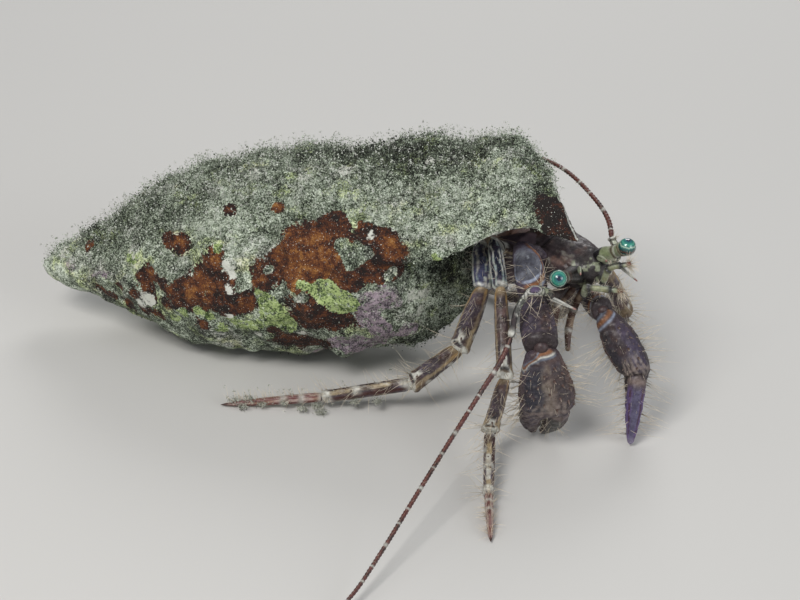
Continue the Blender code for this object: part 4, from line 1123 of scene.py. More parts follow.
# Spines of a segment: count of tall ones, first and last place, turn to each side, half width, height
LEG_SPINES = {"merus": (4, 0.25, 0.85, 0.2, 0.2, 0.3), "carpus": (4, 0.2, 0.85, 0.25, 0.2, 0.34),
              "propodus": (5, 0.12, 0.85, 0.3, 0.18, 0.28)}
CARPUS_SPINES = {"cheliped_right": (9, 0.3, 0.85, 1.1, 0.24, 0.34),
                 "cheliped_left": (5, 0.4, 0.85, 0.4, 0.22, 0.32)}
PALM_SPINES = {"cheliped_right": (20, 0.22, 0.92, 1.2, 0.25, 0.34),
               "cheliped_left": (11, 0.25, 0.9, 0.9, 0.22, 0.32)}


def line_at(side, where, half, soft):
    """Share of a stripe that runs along a limb at one turn from its upper side."""
    offset = np.abs(np.angle(np.exp(1j * (side - where))))
    return fade(-offset, -half - soft, -half)


def leg_marks(kind, surface, seed):
    """Leg: speckled dark horn between two ochre lines, and a white fork around black at the outer joint."""
    place, turn, points = surface.grids()
    side = turn + 0.2 * layers(points, 0.8, seed, 2)
    patchy = clouds(points, 1.3, seed + 8, -0.45, 0.25)
    marks = blend(DARK_HORN, BROWN_HORN, clouds(points, 0.8, seed + 3, -0.4, 0.6))
    marks = blend(marks, VIOLET_HORN, 0.7 * clouds(points, 1.6, seed + 5, -0.2, 0.5))
    marks = marks * (0.75 + 0.6 * clouds(points, 0.35, seed + 1, -0.3, 0.5))[..., None]
    marks = blend(marks, LEG_GRIT, 0.6 * fade(pebbles(points, 0.26, seed + 6), 0.62, 0.9))
    if kind == "dactyl":
        marks = blend(PINK_WHITE, ORANGE_MARK, 0.5 * clouds(points, 0.9, seed, -0.2, 0.5))
        for line in (0.0, 1.25, -1.25, math.pi):
            marks = blend(marks, MAROON * 0.8, line_at(side, line, 0.27, 0.16) * (0.6 + 0.4 * patchy))
        for where in (0.03, 0.22, 0.4):
            marks = blend(marks, WHITE_MARK, 0.75 * hump(place + 0.02 * np.cos(turn), where, 0.03))
        return blend(marks, CLAW_POINT, fade(place, 0.9, 0.96))
    if kind == "propodus":
        ochre = blend(PALE_STRIPE, WHITE_MARK, clouds(points, 0.9, seed + 9, 0.1, 0.45))
        marks = blend(marks, ochre, line_at(side, 0.0, 0.28, 0.2) * (0.25 + 0.75 * patchy))
        for line in (1.0, -1.0):
            marks = blend(marks, MAROON * 0.35, line_at(side, line, 0.16, 0.16))
        for line in (1.6, -1.6):
            marks = blend(marks, PALE_STRIPE * 0.8, 0.6 * line_at(side, line, 0.08, 0.14) * patchy)
        for where, low in ((0.05, -2), (0.36, 0.2), (0.62, -1.2), (0.95, -2)):
            spot = hump(place + 0.03 * noise(points, 0.5, seed), where, 0.045) * fade(np.cos(side), -0.6, 0.1)
            marks = blend(marks, WHITE_MARK, 0.85 * spot * fade(side, low, low + 0.4))
        return marks
    ends = fade(-np.abs(place - 0.45), -0.36, -0.28)
    marks = blend(marks, OCHRE, 0.65 * np.clip(patchy - ends, 0, 1))
    paler = fade(place + 0.2 * layers(points, 1.0, seed + 2), 0.1, 0.4)
    stripe = blend(DEEP_OCHRE, PALE_STRIPE, paler)
    for line in (0.95, -0.95):
        marks = blend(marks, stripe, line_at(side, line, 0.13, 0.13) * (0.35 + 0.65 * patchy))
    for line in (2.2, -2.2):
        marks = blend(marks, PALE_STRIPE * 0.7, 0.7 * line_at(side, line, 0.08, 0.1) * patchy)
    marks = blend(marks, BLACK_MARK, 0.75 * line_at(side, 0.0, 0.35, 0.2) * hump(place, 0.62, 0.12) * patchy)
    fork = 0.2 + 1.0 * fade(place, 0.82, 0.97)
    arms = line_at(np.abs(side), fork - 0.12, 0.17, 0.1)
    arms = arms * fade(place + 0.05 * layers(points, 0.6, seed + 4), 0.64, 0.74)
    marks = blend(marks, WHITE_MARK * 1.1, arms)
    cap = line_at(side, 0.0, 0.75, 0.2) * fade(place + 0.02 * layers(points, 0.4, seed + 7), 0.915, 0.93)
    marks = blend(marks, WHITE_MARK * 1.1, cap)
    notch = line_at(side, 0.0, 0.5, 0.12) * hump(place + 0.02 * np.cos(side * 2), 0.9, 0.022)
    marks = blend(marks, BLACK_MARK, notch)
    for where, at in ((0.28, -1.5), (0.55, 1.5), (0.72, -1.45), (0.4, 1.9), (0.5, -1.8), (0.8, 1.7)):
        spot = fade(-np.hypot((place - where) / 0.05, (side - at) / 0.26), -1.3, -0.6)
        marks = blend(marks, WHITE_MARK, 0.9 * spot)
    root = 0.6 * fade(-place, -0.1, -0.04) * fade(np.cos(side), 0.0, 0.6) * patchy
    return blend(marks, PALE_STRIPE * 1.2, root)


def hidden_panel(name, surface):
    """Inner segments: dark blue-violet panels edged in white and pale green, with broken pale lines."""
    place, turn, points = surface.grids()
    ground = INK_BLUE if name.startswith("leg2") else DUSK_BLUE
    marks = blend(ground, VIOLET_HORN, clouds(points, 0.9, 7, -0.1, 0.6))
    side = turn + 0.28 * layers(points, 1.1, 13, 2)
    for line, half in ((1.15, 0.2), (-1.0, 0.2), (0.35, 0.08), (-0.4, 0.08), (2.3, 0.14), (-2.3, 0.14)):
        tint = blend(WHITE_MARK, PALE_GREEN, fade(noise(points, 0.7, 3), -0.3, 0.4))
        broken = clouds(points, 0.8, 17, -0.35, 0.1) if half < 0.1 else 1.0
        marks = blend(marks, tint * 1.1, line_at(side, line, half, 0.07) * broken)
    marks = blend(marks, BLUE_WHITE, 0.7 * clouds(points, 0.3, 11, 0.38, 0.55))
    return blend(marks, WHITE_MARK, 0.8 * fade(place, 0.9, 0.98) * clouds(points, 0.5, 5, -0.3, 0.3))


def claw_marks(kind, surface, seed, banded):
    """Claw: grainy grey-violet horn. Its third segment bears an oval ringed in blue-white and orange."""
    place, turn, points = surface.grids()
    marks = blend(DARK_HORN, VIOLET_HORN * 0.9, clouds(points, 1.4, seed, -0.4, 0.5))
    marks = blend(marks, BROWN_HORN, 0.6 * clouds(points, 0.7, seed + 4, 0.0, 0.6))
    if kind == "merus":
        side = turn + 0.25 * layers(points, 0.9, seed, 2)
        along, beside = (place - 0.52) / 0.33, side - 0.25
        ring, angle = np.hypot(along, beside), np.arctan2(beside, along)
        panel = blend(SLATE, LIGHT_SLATE, clouds(points, 0.9, 3, -0.3, 0.4))
        streaks = clouds(points * (1, 1, 0.3), 0.45, 19, 0.2, 0.45)
        panel = blend(panel, STREAK_GREY, 0.6 * streaks)
        marks = blend(marks, panel, fade(-ring, -1.0, -0.8))
        worn = clouds(points, 0.7, 5, -0.5, 0.0)
        inner = fade(-np.abs(ring - 1.0), -0.14, -0.04) * worn * (0.3 + 0.7 * fade(np.cos(angle), -0.9, 0.2))
        marks = blend(marks, BLUE_WHITE, inner)
        orange = fade(-np.abs(ring - 1.3), -0.22, -0.06) * fade(-np.sin(angle - 0.3), -0.2, 0.3)
        marks = blend(marks, ORANGE_MARK * 0.95, orange * worn)
        outer = fade(-np.abs(ring - 1.5), -0.12, -0.03) * fade(-np.sin(angle - 0.3), 0.0, 0.4)
        return blend(marks, BLUE_WHITE * 0.9, outer)
    if kind == "carpus":
        front = fade(np.cos(turn), -0.3, 0.4)
        edge = place - 0.03 * turn
        bent = turn + 0.3 * layers(points, 1.0, seed)
        marks = blend(marks, DUSK_VIOLET, 0.5 * line_at(bent, 0.5, 0.35, 0.3))
        if banded:
            marks = blend(marks, ORANGE_MARK * 0.9, front * hump(edge, 0.72, 0.05))
            marks = blend(marks, BLUE_WHITE * 0.7, front * hump(edge, 0.81, 0.03))
            marks = blend(marks, WHITE_MARK * 0.9, front * hump(edge, 0.87, 0.012))
        marks = marks * (0.65 + 0.5 * clouds(points, 0.5, seed + 3, -0.2, 0.5))[..., None]
        marks = blend(marks, CLAW_GRIT, 0.5 * fade(pebbles(points, 0.4, seed + 2), 0.6, 0.9))
        return blend(marks, DARK_HORN * 0.6, fade(edge, 0.82, 0.95))
    return marks


# Stripes along the left palm and the right one: turn from the upper side, half width, colour, share
PALM_STRIPES = (
    ((-0.5, 0.35, (0.12, 0.09, 0.18), 0.7), (0.7, 0.25, (0.035, 0.034, 0.048), 0.7),
     (1.3, 0.14, (0.24, 0.10, 0.08), 0.6)),
    ((0.55, 0.34, (0.026, 0.029, 0.046), 0.85), (-0.55, 0.3, (0.050, 0.036, 0.036), 0.75),
     (0.0, 0.07, (0.26, 0.22, 0.18), 0.7), (-0.16, 0.04, (0.20, 0.15, 0.12), 0.6),
     (1.15, 0.14, (0.13, 0.10, 0.11), 0.5), (-1.15, 0.14, (0.13, 0.085, 0.07), 0.5),
     (1.5, 0.08, (0.17, 0.08, 0.06), 0.6), (-1.5, 0.08, (0.17, 0.08, 0.06), 0.6)),
)
# Bands about the shoulder of the left palm and of the right one: place, width, colour
SHOULDER_BANDS = (
    ((0.0, 0.02, ORANGE_MARK * 0.7), (0.035, 0.011, BLUE_WHITE * 0.7), (-0.04, 0.014, BLUE_WHITE * 0.35)),
    ((-0.048, 0.012, BLUE_WHITE * 0.45), (-0.024, 0.013, ORANGE_MARK * 0.8), (0.0, 0.009, WHITE_MARK),
     (0.018, 0.010, BLUE_WHITE * 0.35)),
)


def palm_marks(surface, seed, knuckle, tip, right):
    """Hand: grainy dark horn, banded in blue, orange and white at its shoulder, streaked at its knuckle."""
    place, turn, points = surface.grids()
    side = turn + 0.15 * layers(points, 0.9, seed, 2)
    marks = blend(DARK_HORN * 1.2, VIOLET_HORN * 0.8, clouds(points, 1.5, seed, -0.3, 0.6))
    marks = blend(marks, BROWN_HORN * 1.1, 0.55 * clouds(points, 0.8, seed + 2, -0.1, 0.6))
    along = fade(place, 0.05, 0.2) * fade(-place, -knuckle - 0.02, -knuckle + 0.1)
    broken = clouds(points, 0.6, seed + 11, -0.7, -0.1)
    stripes, bands = PALM_STRIPES[right], SHOULDER_BANDS[right]
    shoulder = place - 0.05 - (0.17 * fade(side, 0.1, 1.5) if right else 0.03 * side)
    for line, half, tint, share in stripes:
        marks = blend(marks, tint, share * along * line_at(side, line, half, 0.16) * broken)
    marks = marks if right else marks * 0.55
    for at, width, tint in bands:
        marks = blend(marks, tint, hump(shoulder, at, width) * fade(side, -1.4, -0.7))
    for line in (0.0, 0.5, -0.5, 1.0, -1.0):
        ray = line_at(side, line * (0.5 + (place - knuckle + 0.1) * 2.0), 0.035, 0.06)
        ray = ray * fade(place, knuckle - 0.2, knuckle - 0.12)
        ray = ray * fade(-place, -knuckle - 0.16, -knuckle - 0.06)
        marks = blend(marks, RAY_BUFF, 0.5 * ray)
    crease = hump(place + 0.02 * np.cos(3 * side), knuckle - 0.04, 0.012)
    marks = blend(marks, BUFF, 0.6 * crease)
    if right:
        point = blend(DARK_HORN, tip, clouds(points, 0.5, seed + 5, -0.2, 0.3))
        return blend(marks, point, 0.7 * fade(place, 0.8, 0.92))
    marks = blend(marks, LIGHT_BUFF, 0.8 * hump(place, 0.7, 0.014))
    return blend(marks, tip_marks(surface, seed, tip), fade(place, 0.7, 0.74))


def tip_marks(surface, seed, tip):
    """A fingertip: violet, greyer along its middle, with a dotted dark line on each side as painted shade of
    the gap between the fingers, and a pale point.
    """
    place, turn, points = surface.grids()
    grain = layers(points, 0.3, seed + 9)
    marks = blend(tip * 0.6, tip * 0.3 + (0.03, 0.04, 0.04), line_at(turn + 0.2 * grain, 0.0, 0.3, 0.35))
    for line in (0.75, -0.75):
        # Painted shade for the dark gap between the fingers
        dotted = 0.85 * line_at(turn, line, 0.1, 0.12) * fade(grain, -0.35, 0.0)
        marks = blend(marks, DEEP_MAROON, dotted)
    return blend(marks, tip * 0.5 + 0.2, 0.8 * fade(place, 0.86, 0.97))


def finger_marks(surface, seed, tip):
    """A moving finger: horn with a pale line and a pale ring at its root, then a fingertip."""
    place, turn, points = surface.grids()
    marks = blend(DARK_HORN * 1.2, VIOLET_HORN * 0.8, clouds(points, 1.0, seed, -0.3, 0.5))
    marks = blend(marks, DARK_BUFF, 0.5 * line_at(turn, 0.0, 0.2, 0.3) * fade(-place, -0.5, -0.2))
    marks = blend(marks, ROSE_BUFF, 0.7 * hump(place, 0.12, 0.05))
    return blend(marks * 0.7, tip_marks(surface, seed, tip), fade(place, 0.12, 0.3))


def add_hairs(surface, rows, seed, settings):
    """Notes stiff hairs on a segment. A row: count, first and last place, turn, its spread, length."""
    rng = np.random.default_rng(seed)
    for count, low, high, turn, spread, share in rows:
        places = rng.uniform(low, high, count)
        turns = turn + rng.normal(0, spread, count)
        at, out = surface.roots(places, turns)
        way = unit(surface.rings[-1].mean(0) - surface.rings[0].mean(0))
        ways = unit(out + 0.35 * way + rng.normal(0, 0.25, at.shape))
        lengths = settings.hair_length / MM * share * rng.uniform(0.45, 1.0, count)
        HAIRS.append((at - 0.04 * out, ways, lengths))


def add_spines(surface, spread, length=1.0):
    """Notes spines on a segment: tall ones in golden steps about its upper side, small ones between."""
    count, low, high, side, half, height = spread
    way = unit(surface.rings[-1].mean(0) - surface.rings[0].mean(0))
    for number, size in ((count, 1.0), (4 * count, 0.5)):
        step = np.arange(number)
        turns = side * (2 * ((step * 0.618 + 0.3) % 1.0) - 1) / size**0.5
        at, out = surface.roots(length * (low + (high - low) * (step + 0.5) / number), turns)
        size = size * (0.8 + 0.2 * np.cos(step * 2.4))
        SPINES.append((at - 0.1 * out, unit(out + 0.55 * way), (height + 0.1) * size, 0.62 * half * size))


def limb_joints(name):
    """A limb's joints with its start on the body, the way of each segment and the plane at each joint."""
    root, joints = LIMBS[name]
    point, normal = on_body(body_point(*root), joints[0])
    nodes = [point] + [np.array(joint) for joint in joints]
    ways = [unit(b - a) for a, b in zip(nodes, nodes[1:])]
    planes = [normal] + [unit(a + b) for a, b in zip(ways, ways[1:])] + [ways[-1]]
    return nodes, planes


# Rows of hairs on each segment of a leg, as add_hairs takes them
LEG_HAIRS = {
    "coxa": [],
    "ischium": [(14, 0.2, 0.9, 0.0, 0.8, 0.5)],
    "merus": [
        (26, 0.15, 0.95, 0.0, 0.5, 0.55), (30, 0.15, 0.95, 3.1, 0.5, 1.0), (14, 0.9, 0.97, 0.4, 0.8, 1.0)],
    "carpus": [
        (26, 0.15, 0.95, 0.0, 0.5, 0.65), (24, 0.2, 0.9, 3.1, 0.6, 0.95), (16, 0.88, 0.97, 0.2, 0.9, 1.1)],
    "propodus": [
        (36, 0.1, 0.95, 0.0, 0.5, 0.65), (40, 0.1, 0.95, 3.1, 0.5, 1.0), (14, 0.9, 0.98, 0.0, 1.5, 0.8)],
    "dactyl": [
        (44, 0.05, 0.9, 0.0, 0.5, 0.45), (48, 0.05, 0.9, 3.1, 0.4, 0.6), (20, 0.1, 0.85, 1.5, 0.5, 0.4)],
}


class CRAB_OT_legs(bpy.types.Operator):
    """Builds the four walking legs, segment by segment"""

    bl_idname = "hermit_crab.legs"
    bl_label = "Walking legs"

    def execute(self, context):
        look = looks(context.scene.hermit_shell)
        settings = context.scene.hermit_animal
        for number, name in enumerate(("leg2_right", "leg3_right", "leg2_left", "leg3_left")):
            right = name.endswith("right")
            flat = AHEAD if name == "leg3_right" else ASIDE
            top = (-0.1, -0.85, 1.0) if right else (0.35, 0.8, 1.0)
            nodes, planes = limb_joints(name)
            for i, (kind, widths) in enumerate(LEG_WIDTHS.items()):
                seed = 100 * number + 10 * i
                ends = (0.35, 0.16) if kind != "dactyl" else (0.3, 0.5)
                cuts = (planes[i], planes[i + 1]) if kind != "dactyl" else (planes[i], None)
                lap = 0.12 if kind != "dactyl" else 0.0
                leg = sweep(nodes[i], nodes[i + 1], widths, flat, top, cuts, ends=ends, lap=lap)
                self.shape(kind, leg, seed)
                lift(leg.rings)
                inner = kind == "ischium" and right
                marks = hidden_panel(name, leg) if inner else leg_marks(kind, leg, seed)
                node = f"{name}_{kind}"
                leg.add(f"{node}_horn", look["leg"], marks, "leg_horn", [node])
                add_hairs(leg, LEG_HAIRS[kind], seed, settings)
                if kind in LEG_SPINES:
                    add_spines(leg, LEG_SPINES[kind])
        return {"FINISHED"}

    def shape(self, kind, leg, seed):
        """Low crests along the upper side, a raised rim at the outer end and grains all over."""
        place, turn = leg.place_grid, leg.turn_grid
        crest = 0.05 * fade(np.cos(turn), 0.75, 1.0) * fade(place, 0.08, 0.3) * fade(-place, -0.97, -0.85)
        rim = 0.05 * hump(place, 0.93, 0.03) if kind not in ("dactyl", "coxa") else 0.0
        teeth = 0.05 * pebbles(leg.rings, 0.42, seed) * fade(np.cos(turn), 0.2, 0.9)
        teeth = teeth if kind != "dactyl" else 0.3 * teeth
        leg.swell(crest + rim + teeth + 0.02 * layers(leg.rings, 0.5, seed + 1))


class CRAB_OT_claws(bpy.types.Operator):
    """Builds both claw-bearing limbs with their hands"""

    bl_idname = "hermit_crab.claws"
    bl_label = "Claws"

    def execute(self, context):
        look = looks(context.scene.hermit_shell)
        settings = context.scene.hermit_animal
        self.arm("cheliped_right", CLAW_RIGHT_WIDTHS, AHEAD, look, settings, 500)
        self.arm("cheliped_left", CLAW_LEFT_WIDTHS, ASIDE, look, settings, 600)
        self.hand("cheliped_right", WRIST_RIGHT, HAND_RIGHT, AHEAD, 0.68, TIP_GREY, look, settings, 700)
        self.hand("cheliped_left", WRIST_LEFT, HAND_LEFT, ASIDE, 0.56, TIP_VIOLET, look, settings, 800)
        return {"FINISHED"}

    def arm(self, name, table, flat, look, settings, seed):
        nodes, planes = limb_joints(name)
        top = (0.0, -1.0, 1.0)
        for i, (kind, widths) in enumerate(table.items()):
            cuts = (planes[i], planes[i + 1])
            part = sweep(nodes[i], nodes[i + 1], widths, flat, top, cuts, rings=72, sides=56,
                         ends=(0.4, 0.2), lap=0.15)
            grain = pebbles(part.rings, 0.55, seed + i)
            upper = fade(np.cos(part.turn_grid), -0.6, 0.4)
            part.swell(0.07 * grain * upper + 0.03 * layers(part.rings, 0.8, seed))
            marks = claw_marks(kind, part, seed + i, name == "cheliped_left")
            marks = blend(marks, ARM_GRAIN, 0.3 * fade(grain, 0.8, 1.0) * (kind != "merus"))
            node = f"{name}_{kind}"
            part.add(f"{node}_horn", look["claw"], marks, "claw_horn", [node])
            if kind != "ischium":
                rows = [(26, 0.3, 0.97, 0.0, 0.9, 0.6), (16, 0.4, 0.95, 2.4, 0.7, 0.6)]
                add_hairs(part, rows, seed + i, settings)
            if kind == "carpus":
                add_spines(part, CARPUS_SPINES[name])

    def hand(self, name, wrist, tables, flat, knuckle, tip, look, settings, seed):
        """A hand: the palm that runs on into the fixed finger, and the moving finger beside it."""
        start, palm_end, end = (np.array(point) for point in wrist)
        top = np.array((0.0, -1.0, 0.35))
        palm = self.bent_sweep((start, palm_end, end), tables[0], flat, top, knuckle)
        grain = pebbles(palm.rings, 0.5, seed)
        front = fade(np.cos(palm.turn_grid), -0.5, 0.3)
        ridge = 0.12 * fade(-np.abs(palm.turn_grid), -0.5, 0.0) * fade(palm.place_grid, 0.08, 0.3)
        ridge = ridge * fade(-palm.place_grid, -knuckle, -knuckle + 0.2)
        palm.swell(0.09 * grain * (0.35 + 0.65 * front) + ridge + 0.04 * layers(palm.rings, 0.9, seed))
        lift(palm.rings)
        marks = palm_marks(palm, seed, knuckle, tip, name.endswith("right"))
        # Pale tops of the palm's grains on its front: partly pale tubercles, partly a painted highlight
        marks = blend(marks, PALM_GRAIN_AND_HIGHLIGHT, 0.35 * fade(grain, 0.8, 1.0) * front)
        palm.add(f"{name}_palm_horn", look["claw"], marks, "claw_horn", [f"{name}_palm"])
        rows = [(22, 0.12, 0.7, 0.0, 0.9, 0.35)]
        rows += [(60, 0.2, 0.95, turn, 0.25, 1.05) for turn in (1.55, -1.55)]
        add_hairs(palm, rows, seed, settings)
        add_spines(palm, PALM_SPINES[name], knuckle)
        finger = sweep(palm_end, end, tables[1], flat, top, rings=56, sides=40, ends=(0.6, 0.3))
        finger.swell(0.06 * pebbles(finger.rings, 0.45, seed + 3))
        lift(finger.rings)
        marks = finger_marks(finger, seed, tip)
        finger.add(f"{name}_finger_horn", look["claw"], marks, "claw_horn", [f"{name}_finger"])
        rows = [(26, 0.1, 0.85, 1.6, 0.6, 0.5), (16, 0.1, 0.8, 0.0, 0.8, 0.35)]
        add_hairs(finger, rows, seed + 1, settings)

    def bent_sweep(self, corners, widths, flat, top, knuckle):
        """As sweep, but along a line with one rounded bend, whose rings turn with it."""
        start, corner, end = corners
        rings, sides = 120, 72
        place = 0.5 - 0.5 * np.cos(np.linspace(0.05, math.pi - 0.05, rings))
        share = place[:, None]
        first = start + (corner - start) * share / knuckle
        second = corner + (end - corner) * (share - knuckle) / (1 - knuckle)
        turn_share = fade(place, knuckle - 0.1, knuckle + 0.1)[:, None]
        line = np.where(share < knuckle, first, second)
        ways = unit((1 - turn_share) * unit(corner - start) + turn_share * unit(end - corner))
        thin = unit(flat - (ways @ flat)[:, None] * ways)
        tall = np.cross(ways, thin)
        table = smooth_steps(widths, place)
        closing = rounded(place / 0.05) * rounded((1 - place) / 0.03)
        turn = turns_around(sides)
        c, s = squared(turn)
        wide = (table[:, 0] * closing)[:, None] * c
        high = (table[:, 1] * closing)[:, None] * s + table[:, 2][:, None]
        lateral = wide[..., None] * thin[:, None] + high[..., None] * tall[:, None]
        turns = top_turns(ways[0], thin[0], tall[0], top, turn)
        return Surface(line[:, None] + lateral, place, turns)


class CRAB_OT_joints(bpy.types.Operator):
    """Fills every joint with its soft skin"""

    bl_idname = "hermit_crab.joints"
    bl_label = "Joint skin"

    def execute(self, context):
        look = looks(context.scene.hermit_shell)
        rings, sides = 18, 24
        points, faces, marks, first = [], [[], [], []], [], 0
        for at, size in self.joints():
            skin = ball(at, np.eye(3), (size, size, size), rings, sides)
            skin.swell(0.03 * layers(skin.rings, 0.3, 5))
            points.append(skin.flat_points())
            for store, part in zip(faces, grid_faces(rings, sides, first)):
                store.append(part)
            first += len(points[-1])
            tint = blend(DARK_HORN * 0.5, SKIN_BROWN, clouds(points[-1], 0.6, 9, -0.4, 0.4))
            marks.append(tint)
        add_piece("joint_skin", np.vstack(points), [np.vstack(part) for part in faces], look["skin"],
                  np.vstack(marks), slot="soft_body")
        return {"FINISHED"}

    def joints(self):
        """Each joint's place and the size of the skin in it, a little narrower than the horn around."""
        for name in LIMBS:
            nodes, _ = limb_joints(name)
            if name.startswith("leg"):
                tables = list(LEG_WIDTHS.values())
            else:
                tables = list((CLAW_RIGHT_WIDTHS if name.endswith("right") else CLAW_LEFT_WIDTHS).values())
            for node, table in zip(nodes[:-1], tables):
                yield node, 1.05 * table[0][1]
            if name.startswith("cheliped"):
                yield nodes[-1], 0.62 * tables[-1][-1][1]
        for wrist, size in ((WRIST_RIGHT, 0.75), (WRIST_LEFT, 0.6)):
            _, palm_end, end = (np.array(point) for point in wrist)
            yield palm_end + 0.05 * (end - palm_end), size


class CRAB_OT_body(bpy.types.Operator):
    """Builds the front shield, the soft hind body and the eyes on their stalks"""

    bl_idname = "hermit_crab.body"
    bl_label = "Body and eyes"

    def execute(self, context):
        look = looks(context.scene.hermit_shell)
        settings = context.scene.hermit_animal
        self.shield(look["body"])
        self.gill_cover(look["soft"])
        self.hind_body(look["soft"])
        for side in ("right", "left"):
            self.eye(side, look, settings)
        return {"FINISHED"}

    def shield(self, look):
        """The shield: an egg with a groove across, folds down its sides and a small beak between the eyes."""
        body = ball(BODY_AT, (FORWARD, LEFT, UP), BODY_HALF, rings=110, sides=110, square=2.2)
        local = (body.rings - BODY_AT) @ np.array((FORWARD, LEFT, UP)).T
        forward, left, up = (local[..., k] for k in range(3))
        above = fade(up, -0.3, 0.9)
        groove = hump(forward + 0.14 * left**2, -0.6, 0.16)
        groove = groove + 0.7 * hump(np.abs(left) - 1.25 - 0.12 * forward, 0.0, 0.1)
        beak = 0.35 * hump(left, 0.0, 0.5) * hump(up, 0.9, 0.6) * fade(forward, 3.2, 4.3)
        height = 0.05 * pebbles(body.rings, 0.6, 41) + 0.05 * layers(body.rings, 1.1, 43)
        body.swell(height - 0.14 * groove * above + beak)
        marks = blend(DARK_HORN, SHIELD_GREY, clouds(body.rings, 0.9, 45, -0.2, 0.5))
        blotch = clouds(body.rings, 0.55, 47, 0.22, 0.42, 4) * above
        marks = blend(marks, SHIELD_PALE, 0.7 * blotch)
        marks = blend(marks, SHIELD_RUST, 0.6 * clouds(body.rings, 1.4, 49, 0.15, 0.45))
        face = fade(forward + 0.3 * layers(body.rings, 0.6, 51), 2.3, 3.0)
        marks = blend(marks, FACE_BLACK, 0.9 * face)
        marks = blend(marks, SAGE, 0.8 * face * clouds(body.rings, 0.5, 53, 0.25, 0.4))
        marks = blend(marks, BLACK_MARK, 0.7 * np.clip(groove, 0, 1) * above)
        body.add("shield", look, marks, "striped_body", ["carapace"])

    def hind_body(self, look):
        """The soft hind body: an even copy of its solid with rings of wrinkles."""
        points, quads = even_copy("abdomen", 0.16)
        normals = point_normals(points, quads)
        depth = 0.06 * np.sin((points - BODY_AT) @ FORWARD * 5.0) + 0.05 * layers(points, 0.7, 55)
        points = points + depth[:, None] * normals
        marks = blend(HIND_RED, HIND_PINK, clouds(points, 1.2, 57, -0.3, 0.4))
        add_piece("hind_body", points, [quads], look, marks, nodes=["abdomen"], slot="soft_body")

    def gill_cover(self, look):
        """The soft rear of the body, over the roots of the legs: an egg flattened under the shell's lip."""
        axes = (unit((-0.85, 0.15, -0.1)), LEFT, UP)
        egg = ball(np.array((21.3, -7.2, 12.2)), axes, (3.9, 2.0, 2.4), rings=70, sides=70, square=2.2)
        egg.swell(0.1 * layers(egg.rings, 1.2, 65) - 0.06 * hump(np.mod(egg.place_grid * 6, 1.0), 0.5, 0.15))
        marks = blend(GILL_DARK, GILL_ROSE, clouds(egg.rings, 1.0, 67, -0.3, 0.5))
        egg.add("gill_cover", look, marks, "soft_body")

    def eye(self, side, look, settings):
        """An eye: a ball ringed in blues and greens, on a banded stalk that narrows to a neck."""
        root, cornea = EYES[side]
        point, _ = on_body(body_point(*root), cornea)
        cornea = np.array(cornea)
        way = unit(cornea - point)
        widths = [(0, 0.74, 0.74), (0.2, 0.76, 0.76), (0.45, 0.62, 0.6), (0.7, 0.53, 0.52),
                  (0.92, 0.66, 0.66), (1, 0.62, 0.62)]
        stalk = sweep(point - 0.2 * way, cornea - 0.12 * way, widths, UP, (0.2, -0.8, 0.6),
                      rings=80, sides=48, ends=(0.1, 0.25))
        place, points = stalk.place_grid + 0.03 * noise(stalk.rings, 0.5, 3), stalk.rings
        marks = blend(SAGE, SAGE * (0.72, 0.78, 0.6), clouds(points, 0.6, 61, -0.2, 0.5))
        if side == "right":
            collar = hump(place, 0.82, 0.09) * clouds(points, 0.5, 63, -0.4, 0.1)
            marks = blend(marks, STALK_BLACK, 1 - collar)
        marks = blend(marks, BLACK_MARK, fade(-place, -0.28, -0.24))
        bar = clouds(points, 0.8, 65, -0.4, -0.1)
        marks = blend(marks, STALK_BAR, 0.9 * hump(place, 0.62, 0.04) * bar)
        marks = blend(marks, WHITE_MARK * 0.9, 0.8 * hump(place, 0.7, 0.02) * bar)
        marks = blend(marks, STALK_RIM, 0.8 * hump(place, 0.88, 0.025))
        stalk.add(f"eyestalk_{side}_horn", look["stalk"], marks, "stalk_horn", [f"eyestalk_{side}"])
        ahead = EYE_LOOK[side]
        across_way = unit(np.cross(ahead, (0.3, 1.0, 0.2)))
        axes = (ahead, across_way, np.cross(ahead, across_way))
        globe = ball(cornea, axes, (0.76, 0.76, 0.76), rings=96, sides=96)
        from_middle = math.pi - np.arccos(np.clip(1 - 2 * globe.place_grid, -1, 1))
        around = np.stack([np.cos(globe.turn_grid), np.sin(globe.turn_grid), 0 * from_middle], -1)
        ray = 0.06 * noise(around * 3, 0.35, 5)
        colour = np.array(settings.eye_colour)
        angle = np.degrees(from_middle) * (1 + ray)
        marks = blend(colour * 0.3 + (0.0, 0.03, 0.12), colour, fade(angle, 10, 26))
        cloudy = 0.8 * clouds(globe.rings, 0.35, 7, -0.1, 0.4)
        marks = blend(marks, colour * 0.45, cloudy * fade(angle, 14, 24))
        marks = blend(marks, EYE_GREEN, 0.7 * hump(angle, 40, 8))
        marks = blend(marks, EYE_RING, 0.85 * hump(angle, 60, 4.5))
        marks = blend(marks, colour * 0.4, fade(angle, 66, 74))
        marks = blend(marks, PUPIL, fade(-angle, -19, -11))
        marks = blend(marks, EYE_RIM, hump(angle, 96, 7) * (side == "left"))
        marks = blend(marks, SAGE * 0.8, fade(angle, 112, 124))
        globe.add(f"eye_{side}_globe", look["eye"], marks, "eye_gloss", [f"eye_{side}"])


